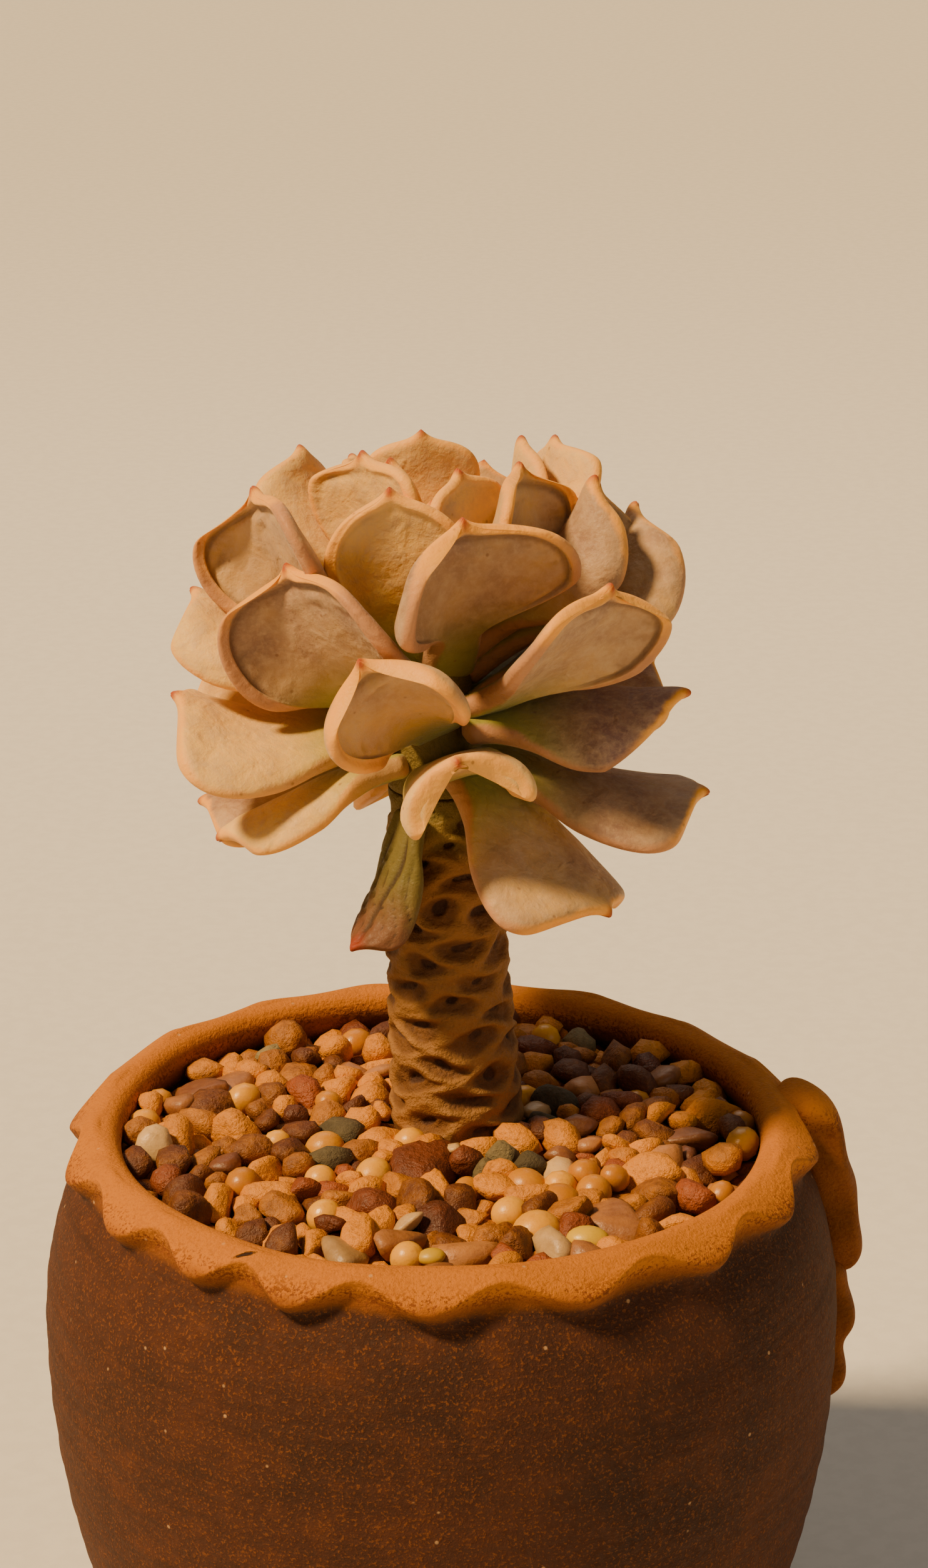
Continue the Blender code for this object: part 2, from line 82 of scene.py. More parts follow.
def smooth(x: np.ndarray | float) -> np.ndarray:
    """An even step from 0 at x = 0 to 1 at x = 1: three x squared less two x cubed."""
    x = np.clip(x, 0.0, 1.0)
    return x * x * (3.0 - 2.0 * x)


def bell(x: np.ndarray | float, width: float) -> np.ndarray:
    """A bell of height 1 at x = 0, a third at x = width: e to the minus (x / width) squared."""
    return np.exp(-((np.asarray(x) / width) ** 2))


def outward(azimuth: np.ndarray | float) -> np.ndarray:
    """The level direction at an azimuth, along the last axis: (sin, -cos, 0)."""
    angle = np.radians(azimuth)
    return np.stack([np.sin(angle), -np.cos(angle), np.zeros_like(angle)], -1)


def steps_round(count: int, whole: float = ONCE_ROUND) -> np.ndarray:
    """A row of even steps once round, from 0 to just before the whole turn."""
    return np.linspace(0.0, whole, count, endpoint=False)[None, :]


def between(x: np.ndarray, low: float, high: float) -> np.ndarray:
    """How far x has come from low to high, 0 to 1."""
    return np.clip((x - low) / (high - low), 0.0, 1.0)


def curve_through(points: Line, spans: int) -> np.ndarray:
    """A smooth line through points: each span is a cubic whose ends take their neighbours' slopes.

    Args:
        points: The points of the line, in order.
        spans: Steps that each span between two points is cut into.

    Returns:
        The line's points, both ends included.
    """
    p = np.array(points, float)
    knots = np.concatenate([[0.0], np.cumsum(np.sqrt(np.linalg.norm(np.diff(p, axis=0), axis=1)))])
    slopes = np.gradient(p, knots, axis=0)
    t = np.linspace(0.0, 1.0, spans, endpoint=False)[None, :, None]
    gap = np.diff(knots)[:, None, None]
    a, b = p[:-1, None, :], p[1:, None, :]
    ma, mb = slopes[:-1, None, :] * gap, slopes[1:, None, :] * gap
    line = (a * (1 + 2 * t) * (1 - t) ** 2 + ma * t * (1 - t) ** 2
            + b * t * t * (3 - 2 * t) - mb * t * t * (1 - t))
    return np.concatenate([line.reshape(-1, p.shape[1]), p[-1:]])


def closed_skin(grid: np.ndarray, values: dict[str, np.ndarray] | None = None) -> Surface:
    """A skin over a grid whose columns run round: each end row is closed by a fan to its own middle.

    The faces are reversed where the volume that they enclose comes out negative.

    Args:
        grid: Points, shaped rows by columns by 3.
        values: What each point carries, each shaped rows by columns.

    Returns:
        The closed skin, its faces pointing out, its last two points being the end rows' middles.
    """
    rows, columns = grid.shape[:2]
    index = np.arange(rows * columns).reshape(rows, columns)
    beside = np.roll(index, -1, axis=1)
    quads = np.stack([index[:-1], beside[:-1], beside[1:], index[1:]], -1).reshape(-1, 4)
    first, last = np.full(columns, rows * columns), np.full(columns, rows * columns + 1)
    fans = np.concatenate([
        np.stack([first, beside[0], index[0]], -1), np.stack([last, index[-1], beside[-1]], -1)])
    p = np.concatenate([grid.reshape(-1, 3), [grid[0].mean(0), grid[-1].mean(0)]])
    a, b, c = p[np.concatenate([quads[:, :3], quads[:, [0, 2, 3]], fans])].transpose(1, 0, 2)
    if np.einsum("ij,ij->i", a, np.cross(b, c)).sum() < 0.0:
        quads, fans = quads[:, ::-1], fans[:, ::-1]
    return Surface(p, quads, fans, {
        name: np.concatenate([value.ravel(), [value[0].mean(), value[-1].mean()]])
        for name, value in (values or {}).items()
    })


def joined(surfaces: list[Surface]) -> Surface:
    """Several skins as one, side by side.

    Args:
        surfaces: The skins, all carrying the same values.

    Returns:
        One skin that holds them all.
    """
    starts = np.cumsum([0] + [len(one.points) for one in surfaces[:-1]])
    return Surface(
        np.concatenate([one.points for one in surfaces]),
        np.concatenate([one.quads + at for one, at in zip(surfaces, starts)]),
        np.concatenate([one.triangles + at for one, at in zip(surfaces, starts)]),
        {name: np.concatenate([one.values[name] for one in surfaces]) for name in surfaces[0].values},
    )


def linked(name: str, data: bpy.types.ID) -> bpy.types.Object:
    """A new object, linked to the scene.

    Args:
        name: The object's name.
        data: Its mesh, light or camera.

    Returns:
        The object.
    """
    made = bpy.data.objects.new(name, data)
    bpy.context.scene.collection.objects.link(made)
    return made


def make_piece(name: str, surface: Surface, finish: bpy.types.Material,
               stands_for: str) -> bpy.types.Object:
    """Turns a skin into a finished piece that rides on the plant's one body.

    Args:
        name: The piece's name.
        surface: Its skin, in millimetres.
        finish: Its material.
        stands_for: The frame's solid that it is shown in place of.

    Returns:
        The piece, with its object at the origin.
    """
    mesh = bpy.data.meshes.new(name)
    quads, triangles = surface.quads, surface.triangles
    corners = np.concatenate([quads.ravel(), triangles.ravel()]).astype(np.int32)
    starts = np.concatenate([np.arange(len(quads)) * 4, len(quads) * 4 + np.arange(len(triangles)) * 3])
    mesh.vertices.add(len(surface.points))
    mesh.vertices.foreach_set("co", (surface.points * MM).astype(np.float32).ravel())
    mesh.loops.add(len(corners))
    mesh.loops.foreach_set("vertex_index", corners)
    mesh.polygons.add(len(starts))
    mesh.polygons.foreach_set("loop_start", starts.astype(np.int32))
    mesh.update(calc_edges=True)
    for label, value in surface.values.items():
        mesh.attributes.new(label, "FLOAT", "POINT").data.foreach_set("value", value.astype(np.float32))
    mesh.shade_smooth()
    mesh.materials.append(finish)
    piece = linked(name, mesh)
    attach(piece, BODY)
    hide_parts(stands_for)
    LOG.info("%s: %d points, %d faces", name, len(mesh.vertices), len(mesh.polygons))
    return piece


# ---------------------------------------------------------------- materials


def linear(code: str) -> tuple[float, float, float, float]:
    """An sRGB hex value as the linear colour that a shader reads.

    Args:
        code: Such as "#8a5530".

    Returns:
        Red, green, blue and an alpha of 1.
    """
    parts = [int(code[i:i + 2], 16) / 255.0 for i in (1, 3, 5)]
    made = [c / 12.92 if c <= 0.04045 else ((c + 0.055) / 1.055) ** 2.4 for c in parts]
    return (made[0], made[1], made[2], 1.0)


def per_metre(millimetres: float) -> float:
    """The scale that makes a pattern's features this many millimetres across."""
    return 1.0 / (millimetres * MM)


@dataclass(frozen=True)
class Cloud:
    """A soft random pattern of about 0.3 to 0.7, whose features are size millimetres across.

    detail: how many finer layers it has
    broken: how strong they are
    stirred: how far it is distorted
    """

    size: float
    detail: float = 3.0
    broken: float = 0.55
    stirred: float = 0.0


class Nodes:
    """A material's node tree as it is built up, and the values in it that go by a name.

    A step is (value, low, high, first, last): it passes evenly from first to last, or from 0 to 1
    where they aren't given, as its value passes from low to high.
    """

    def __init__(self, name: str, carried: tuple[str, ...] = (), **clouds: Cloud) -> None:
        """Starts a material whose patterns read Object coordinates.

        Args:
            name: The material's name.
            carried: The values that it reads from a piece's points.
            clouds: Its soft patterns, by name.
        """
        self.material = bpy.data.materials.new(name)
        self.material.use_nodes = True
        self.material.node_tree.nodes.clear()
        self.values = {"where": self.add("TexCoord").outputs["Object"]}
        for one in carried:
            self.values[one] = self.add("Attribute", attribute_name=one).outputs["Fac"]
        for one, cloud in clouds.items():
            inputs = {"Vector": "where", "Scale": per_metre(cloud.size), "Detail": cloud.detail,
                      "Roughness": cloud.broken, "Distortion": cloud.stirred}
            self.values[one] = self.add("TexNoise", inputs).outputs["Fac"]

    def add(self, kind: str, inputs: dict[str | int, object] | None = None,
            **settings: object) -> bpy.types.Node:
        """Adds a node, sets its properties, and fills or links its inputs.

        Args:
            kind: The node's type name without its ShaderNode prefix.
            inputs: For each input, by name or number, a number, a hex colour, another node's
                output socket, or a value's name.
            settings: The node's own properties.

        Returns:
            The node.
        """
        tree = self.material.node_tree
        node = tree.nodes.new("ShaderNode" + kind)
        for name, value in settings.items():
            setattr(node, name, value)
        for key, value in (inputs or {}).items():
            if isinstance(value, str):
                value = linear(value) if value.startswith("#") else self.values[value]
            if isinstance(value, bpy.types.NodeSocket):
                tree.links.new(value, node.inputs[key])
            else:
                node.inputs[key].default_value = value
        return node

    def total(self, **weights: float) -> bpy.types.NodeSocket:
        """The sum of named values, each times its weight.

        Args:
            weights: A weight for each value's name.

        Returns:
            The sum.
        """
        total: object = 0.0
        for name, weight in weights.items():
            node = self.add("Math", {0: name, 1: weight, 2: total}, operation="MULTIPLY_ADD")
            total = node.outputs[0]
        return total

    def share(self, *steps: object) -> object:
        """The product of even steps.

        Args:
            steps: The steps. One that is no tuple is taken as the value it is.

        Returns:
            The product.
        """
        product: object = None
        for step in steps:
            if isinstance(step, tuple):
                value, low, high, first, last = (*step, 0.0, 1.0)[:5]
                inputs = {"Value": value, "From Min": low, "From Max": high,
                          "To Min": first, "To Max": last}
                step = self.add("MapRange", inputs, interpolation_type="SMOOTHSTEP").outputs["Result"]
            if product is not None:
                step = self.add("Math", {0: product, 1: step}, operation="MULTIPLY").outputs[0]
            product = step
        return product

    def coats(self, ground: object, *coats: tuple) -> bpy.types.NodeSocket:
        """Colours laid over each other like coats of paint.

        Args:
            ground: The lowest colour.
            coats: Each coat's colour and the steps whose product is its share.

        Returns:
            The mixed colour.
        """
        for colour, *steps in coats:
            inputs = {0: self.share(*steps), 6: ground, 7: colour}
            ground = self.add("Mix", inputs, data_type="RGBA").outputs[2]
        return ground

    def specks(self, apart: float, size: float, rarity: float, share: float) -> tuple[tuple, tuple]:
        """Small round specks in some of the cells that the surface is parted into.

        Args:
            apart: How wide a cell is, in millimetres.
            size: How wide a speck is, as a share of its cell.
            rarity: How many of the cells have none, 0 to 1.
            share: How strong a speck is.

        Returns:
            The two steps of their coat.
        """
        cells = self.add("TexVoronoi", {"Vector": "where", "Scale": per_metre(apart)})
        picked = self.add("SeparateColor", {"Color": cells.outputs["Color"]}).outputs[0]
        return ((cells.outputs["Distance"], SPECK_CORE, size, 1.0, 0.0),
                (picked, rarity, rarity + SPECK_FADE, 0.0, share))

    def finish(self, colour: object, rough: object, relief: float = 0.0,
               height: dict[str, float] | None = None, **shader: object) -> bpy.types.Material:
        """Ends the material in one Principled shader, its relief given as a Bump node.

        Args:
            colour: Its colour.
            rough: Its roughness, or the step that gives it.
            relief: How many millimetres its relief stands where the height is 1.
            height: The weights of the values that make the relief, none where it is smooth.
            shader: Settings of the shader's own inputs, spaces in their names written as underscores.

        Returns:
            The material.
        """
        inputs: dict[str | int, object] = {"Base Color": colour, "Roughness": self.share(rough)}
        inputs.update({name.replace("_", " "): value for name, value in shader.items()})
        if height:
            bump = {"Strength": 1.0, "Distance": relief * MM, "Height": self.total(**height)}
            inputs["Normal"] = self.add("Bump", bump).outputs["Normal"]
        skin = self.add("BsdfPrincipled", inputs)
        self.add("OutputMaterial", {"Surface": skin.outputs["BSDF"]})
        return self.material


@dataclass(frozen=True)
class PowderyLeaf:
    """Living leaf skin under farina, the wax powder that a succulent grows.

    The powder scatters light, so the skin is matt, pale and greyed, and it wears thin at the
    margins, where the orange and red of the sunned skin shows. Flesh under it lets light in.
    The cream is partly the paler skin of young leaves and partly painted light: the leaves that
    the key light falls on are painted paler, and the sunned rims brighter, as a painted highlight.
    """

    mauve: str = "#80605a"
    # cream: partly the paler skin of young leaves, partly painted light on the leaves that the key
    # light falls on
    cream: str = "#edc06c"
    farina: str = "#c8a984"
    # The colour of the painted shade in the groove behind the lip and in the puckers' troughs
    fold_shade: str = "#573629"
    green: str = "#8d8a2a"
    margin: str = "#b9855b"
    # sunned: the rims' own orange, brightened as a painted highlight where the light catches them
    sunned: str = "#f8ac34"
    tip: str = "#9c3012"
    freckle: str = "#6b3d22"

    def material(self) -> bpy.types.Material:
        """Builds the material.

        Returns:
            The material, which reads what each leaf's points carry.
        """
        nodes = Nodes("powdery_leaf_skin", ("margin", "along", "tone", "crease", "tip"),
                      broad=Cloud(9.0), patch=Cloud(2.6, 4.0, 0.6, 0.4), grain=Cloud(0.28, 2.0, 0.6),
                      fine=Cloud(0.75, 3.0, 0.7), dents=Cloud(3.2, 2.0, 0.5, 0.6))
        # sun: the tone with a broad cloud; partly painted light, as the leaves that the key light falls
        # on have the higher tones
        nodes.values["sun"] = nodes.share((nodes.total(tone=1.0, broad=0.9), 0.35, 1.35))
        rim = nodes.coats(
            self.sunned, (self.margin, (nodes.total(tip=1.0, sun=-8.0, broad=-6.0), 2.0, 9.5)))
        skin = nodes.coats(
            self.mauve,
            (self.cream, "sun"),
            (self.farina, ("patch", 0.38, 0.72, 0.0, 0.5)),
            (self.farina, ("fine", 0.4, 0.72, 0.0, 0.35)),
            # Painted shade: the groove behind the lip and the puckers' troughs are darkened
            (self.fold_shade, (nodes.total(crease=1.0, patch=0.5), 0.35, 1.15, 0.0, 0.5)),
            (self.green, (nodes.total(along=1.0, broad=0.18), 0.24, 0.72, 0.92, 0.0)),
            (rim, (nodes.total(margin=1.0, patch=-1.1), -0.25, 0.5, 1.0, 0.0),
             ("sun", 0.3, 1.0, 0.95, 0.7)),
            (self.tip, (nodes.total(tip=1.0, patch=-0.6), -0.25, 0.6, 0.9, 0.0)),
            (self.freckle, *nodes.specks(1.9, 0.17, 0.78, 0.5)),
        )
        return nodes.finish(
            skin, ("grain", 0.3, 0.7, 0.5, 0.68), 0.55,
            {"dents": 0.8, "patch": 0.32, "fine": 0.16, "grain": 0.07},
            IOR=1.42, Specular_IOR_Level=0.42, Subsurface_Weight=0.14,
            Subsurface_Radius=(1.0, 0.5, 0.2), Subsurface_Scale=1.3 * MM,
            Sheen_Weight=0.1, Sheen_Roughness=0.5,
        )


@dataclass(frozen=True)
class WitheredSkin:
    """A spent leaf that dries on the stem: the flesh has shrunk, so the skin is creased lengthwise.

    The green has gone to straw and a dull rose, its tip stays red, and shade is painted in the creases.
    """

    straw: str = "#655b26"
    rose: str = "#6c452c"
    # The colour of the painted shade in the creases
    crease: str = "#33200f"
    tip: str = "#94300f"

    def material(self) -> bpy.types.Material:
        """Builds the material.

        Returns:
            The material, which reads what the leaf's points carry.
        """
        nodes = Nodes("withered_leaf_skin", ("along", "crease", "tip"),
                      patch=Cloud(2.2, 4.0, 0.6, 0.3), fine=Cloud(0.4, 3.0, 0.6))
        skin = nodes.coats(
            self.straw,
            (self.rose, (nodes.total(along=1.0, patch=0.4), 0.62, 1.15)),
            # Painted shade: the creases are darkened
            (self.crease, ("crease", 0.35, 0.95, 0.0, 0.85)),
            (self.tip, (nodes.total(tip=1.0, patch=-1.0), -0.2, 1.5, 0.8, 0.0)),
        )
        return nodes.finish(
            skin, ("fine", 0.3, 0.7, 0.5, 0.72), 0.3, {"patch": 0.7, "fine": 0.3}, IOR=1.42,
            Subsurface_Weight=0.08, Subsurface_Radius=(1.0, 0.5, 0.25), Subsurface_Scale=1.2 * MM,
        )


@dataclass(frozen=True)
class StemSkin:
    """Corky skin of an old succulent stem.

    Dry, pale ridges run between the scars that shed leaves left, and each scar is a dark
    sunken lens, so the eye sees a net.
    """

    field: str = "#6e4519"
    ridge: str = "#9a6c34"
    scar: str = "#3a1c09"
    young: str = "#6e6822"

    def material(self) -> bpy.types.Material:
        """Builds the material.

        Returns:
            The material, which reads what the stem's points carry.
        """
        nodes = Nodes("corky_stem_skin", ("ridge", "young", "scar"),
                      patch=Cloud(2.4, 4.0, 0.6), fine=Cloud(0.45, 3.0, 0.65))
        skin = nodes.coats(
            self.field,
            (self.scar, ("patch", 0.35, 0.7, 0.0, 0.45)),
            (self.ridge, (nodes.total(ridge=0.8, patch=1.1), 0.5, 1.5, 0.0, 0.9)),
            (self.young, ("young", 0.0, 1.0, 0.0, 0.6)),
            (self.scar, ("scar", 0.15, 0.8, 0.0, 0.92)),
        )
        return nodes.finish(skin, ("fine", 0.3, 0.7, 0.66, 0.86), 0.7, {"patch": 0.7, "fine": 0.5})


@dataclass(frozen=True)
class FiredClay:
    """Unglazed brown earthenware, thrown on a wheel and fired in a smoky kiln.

    The fire leaves the wall deep brown and mottled, with pale specks of grog, and the lip, where
    the flame licks it, buff with rusty iron specks. The throwing leaves faint level lines. On the
    lip, at the left of the front, is a short crack from the firing, painted dark as the shade in it.

    buff_level, edge_level, speck_level: heights in millimetres between which the wall turns buff,
    the lip stops growing darker towards its lower edge, and the rusty specks thin out
    crack_at: azimuth, radius and height of the crack's middle
    crack_turn, crack_size: how it is turned, in degrees, and its half sizes
    """

    wall: str = "#42200d"
    smoked: str = "#321809"
    warm: str = "#643413"
    sand: str = "#854d20"
    buff: str = "#ba7012"
    rust: str = "#652b06"
    grog: str = "#c39a6c"
    # crack: the colour of the painted shade inside the crack
    crack: str = "#2b1408"
    buff_level: tuple[float, float] = (70.2, 73.4)
    edge_level: tuple[float, float] = (71.3, 73.6)
    speck_level: tuple[float, float] = (73.3, 75.3)
    crack_at: tuple[float, float, float] = (-30.5, 42.9, 73.8)
    crack_turn: float = 34.0
    crack_size: tuple[float, float, float] = (1.5, 0.3, 1.6)

    def material(self, name: str = "unglazed_earthenware", brown: float = 1.0) -> bpy.types.Material:
        """Builds the material.

        Args:
            name: The material's name.
            brown: How brown the clay stays below the lip, 0 to 1.

        Returns:
            The material.
        """
        nodes = Nodes(
            name, wide=Cloud(26.0, 4.0, 0.6), patch=Cloud(5.0, 5.0, 0.65), fine=Cloud(0.7, 4.0, 0.7),
            grit=Cloud(0.35, 2.0, 0.6), speck=Cloud(0.42, 3.0, 0.7))
        nodes.values["level"] = nodes.add("SeparateXYZ", {"Vector": "where"}).outputs["Z"]
        drawn = nodes.add("Mapping", {"Vector": "where", "Scale": (0.06, 0.06, 1.0)}).outputs["Vector"]
        rings = {"Vector": drawn, "Scale": per_metre(1.5), "Detail": 3.0, "Roughness": 0.6}
        nodes.values["rings"] = nodes.add("TexNoise", rings).outputs["Fac"]
        nodes.values["crack"] = self.cracked(nodes)
        from_buff, to_buff, from_edge, to_edge, from_speck, to_speck = (
            height * MM for height in (*self.buff_level, *self.edge_level, *self.speck_level))
        lip = nodes.share(
            (nodes.total(level=1.0, patch=0.0016, wide=0.0012), from_buff, to_buff, 1.0 - brown, 1.0))
        skin = nodes.coats(
            self.smoked,
            (self.wall, ("wide", 0.3, 0.6)),
            (self.warm, ("patch", 0.42, 0.75, 0.0, 0.4)),
            (self.sand, ("grit", 0.52, 0.7, 0.0, 0.6)),
            (self.smoked, ("rings", 0.5, 0.72, 0.0, 0.5)),
            (self.buff, lip),
            # Darker rust brown towards the lip's lower edge
            (self.rust, (nodes.total(level=1.0, patch=0.002), from_edge, to_edge, 0.7, 0.0), lip),
            (self.rust, (nodes.total(speck=0.75, patch=0.35), 0.53, 0.63, 0.0, 0.85),
             (nodes.total(level=1.0, patch=0.003), from_speck, to_speck, 1.0, 0.2), lip),
            (self.grog, *nodes.specks(2.4, 0.13, 0.8, 0.7)),
            # Painted shade: the crack is darkened
            (self.crack, "crack"),
        )
        return nodes.finish(
            skin, ("fine", 0.3, 0.7, 0.74, 0.92), 0.34,
            {"patch": 0.35, "fine": 0.45, "grit": 0.25, "rings": 0.55, "crack": -0.9},
            Specular_IOR_Level=0.35,
        )

    def cracked(self, nodes: Nodes) -> bpy.types.NodeSocket:
        """Where the crack is: within a ragged ball, squashed to its sizes, round its middle.

        Args:
            nodes: The clay's nodes.

        Returns:
            1 in the crack and 0 outside it.
        """
        azimuth, radius, height = self.crack_at
        middle = outward(azimuth) * radius + (0.0, 0.0, height)
        placed = nodes.add("Mapping", {"Vector": "where", "Location": tuple(-middle * MM)})
        turned = nodes.add("Mapping", {
            "Vector": placed.outputs["Vector"], "Rotation": (0.0, 0.0, math.radians(self.crack_turn)),
            "Scale": [per_metre(size) for size in self.crack_size]})
        off = nodes.add("VectorMath", {0: turned.outputs["Vector"]}, operation="LENGTH")
        nodes.values["off"] = off.outputs["Value"]
        return nodes.share((nodes.total(off=1.0, grit=0.8), 0.9, 1.5, 1.0, 0.0))


class StoneKind(Enum):
    """The kinds of small stone in the topdressing, each with the name of its piece."""

    GRANULE = "clay_granules"
    CHUNK = "red_brown_chunks"
    PINK = "pink_pebbles"
    WHITE = "white_pebbles"
    GREY = "grey_green_lumps"
    BEAD = "fertiliser_beads"
    YELLOW = "yellow_bead"


@dataclass(frozen=True)
class StoneFinish:
    """The skin of one kind of stone: two colours that its stones range between, and how it is broken.

    Baked clay granules are porous and rough, river pebbles worn smooth, and fertiliser beads
    have a coat of resin, which makes them waxy.

    share: how many of the stones that are poured in are of this kind
    """

    share: float
    dark: str
    pale: str
    rough: float
    pore: float
    relief: float
    inner_light: float = 0.0

    def material(self, name: str) -> bpy.types.Material:
        """Builds the material.

        Args:
            name: The material's name.

        Returns:
            The material, which reads the tone that each stone's points carry.
        """
        nodes = Nodes(name, ("tone",), patch=Cloud(1.8, 4.0, 0.65), pores=Cloud(self.pore, 3.0, 0.7))
        skin = nodes.coats(
            self.dark,
            (self.pale, (nodes.total(tone=1.0, patch=0.7), 0.3, 1.25)),
            (self.dark, ("pores", 0.5, 0.75, 0.0, 0.5)),
        )
        return nodes.finish(
            skin, ("pores", 0.3, 0.7, self.rough - 0.08, self.rough + 0.06), self.relief,
            {"patch": 0.4, "pores": 0.6}, Subsurface_Weight=self.inner_light,
            Subsurface_Radius=(1.0, 0.7, 0.3), Subsurface_Scale=1.2 * MM,
        )


STONE_FINISHES = {
    StoneKind.GRANULE: StoneFinish(0.71, "#522503", "#cd8203", 0.6, 0.7, 0.6),
    StoneKind.CHUNK: StoneFinish(0.13, "#451d05", "#8c430b", 0.6, 0.9, 0.6),
    StoneKind.PINK: StoneFinish(0.06, "#6b3e22", "#b0773f", 0.5, 1.2, 0.22, 0.1),
    StoneKind.WHITE: StoneFinish(0.015, "#8f6f45", "#cda972", 0.45, 1.4, 0.2, 0.15),
    StoneKind.GREY: StoneFinish(0.02, "#453c28", "#857650", 0.8, 0.6, 0.55),
    StoneKind.BEAD: StoneFinish(0.065, "#b27208", "#e0a31f", 0.38, 1.0, 0.1, 0.2),
    StoneKind.YELLOW: StoneFinish(0.0, "#bc9600", "#d2aa00", 0.42, 1.2, 0.08),
}


@dataclass(frozen=True)
class Soil:
    """Damp potting mix, crumbly and almost black."""

    dark: str = "#24180f"
    crumb: str = "#4a3220"

    def material(self) -> bpy.types.Material:
        """Builds the material, whose dark ground is broken by paler crumbs.

        Returns:
            The material.
        """
        nodes = Nodes("damp_potting_mix", crumbs=Cloud(1.6, 5.0, 0.7))
        skin = nodes.coats(self.dark, (self.crumb, ("crumbs", 0.4, 0.7)))
        return nodes.finish(skin, 0.95, 0.9, {"crumbs": 1.0})


@dataclass(frozen=True)
class StudioPaper:
    """Matt pale paper under the pot."""

    shade: str = "#dbd7d0"
    light: str = "#dfdbd4"

    def material(self) -> bpy.types.Material:
        """Builds the material, whose two shades are too near each other to be told apart."""
        nodes = Nodes("pale_studio_paper", fibre=Cloud(3.0))
        return nodes.finish(nodes.coats(self.shade, (self.light, ("fibre", 0.4, 0.6))), 0.9)


# ---------------------------------------------------------------- stem and crown


@dataclass(frozen=True)
class StemLine:
    """The line and girth of the stem, the crown that ends it included, in millimetres.

    foot, top, crown_top: heights of the stem's two ends and of the crown's top
    lean_start, lean_over: where it starts to lean, and the height over which it leans by lean
    heights, radii: its radius at some heights
    """

    foot: float = 50.0
    top: float = 115.0
    crown_top: float = 136.5
    lean_start: float = 60.0
    lean_over: float = 80.0
    base: tuple[float, float] = (2.6, 6.0)
    lean: tuple[float, float] = (-4.2, -1.0)
    heights: tuple[float, ...] = (50.0, 64.0, 72.0, 95.0, 110.0, 120.0, 130.0, 136.0)
    radii: tuple[float, ...] = (5.6, 6.4, 8.2, 7.3, 6.3, 5.6, 4.6, 3.0)

    def axis(self, height: np.ndarray | float) -> np.ndarray:
        """The axis at these heights: straight up to lean_start, and then leaning evenly.

        Args:
            height: Heights above the pot's foot.

        Returns:
            One point for each height, along the last axis.
        """
        height = np.asarray(height, float)
        along = np.maximum((height - self.lean_start) / self.lean_over, 0.0)
        x, y = (base + lean * along for base, lean in zip(self.base, self.lean))
        return np.stack([x, y, height], -1)

    def radius(self, height: np.ndarray | float) -> np.ndarray:
        """The stem's radius at these heights, read between the listed ones."""
        return np.interp(height, self.heights, self.radii)

    def around(self, height: np.ndarray, azimuth: np.ndarray, radius: np.ndarray) -> np.ndarray:
        """Points round the axis at these heights, azimuths and radii."""
        return self.axis(np.broadcast_to(height, radius.shape)) + outward(azimuth) * radius[..., None]


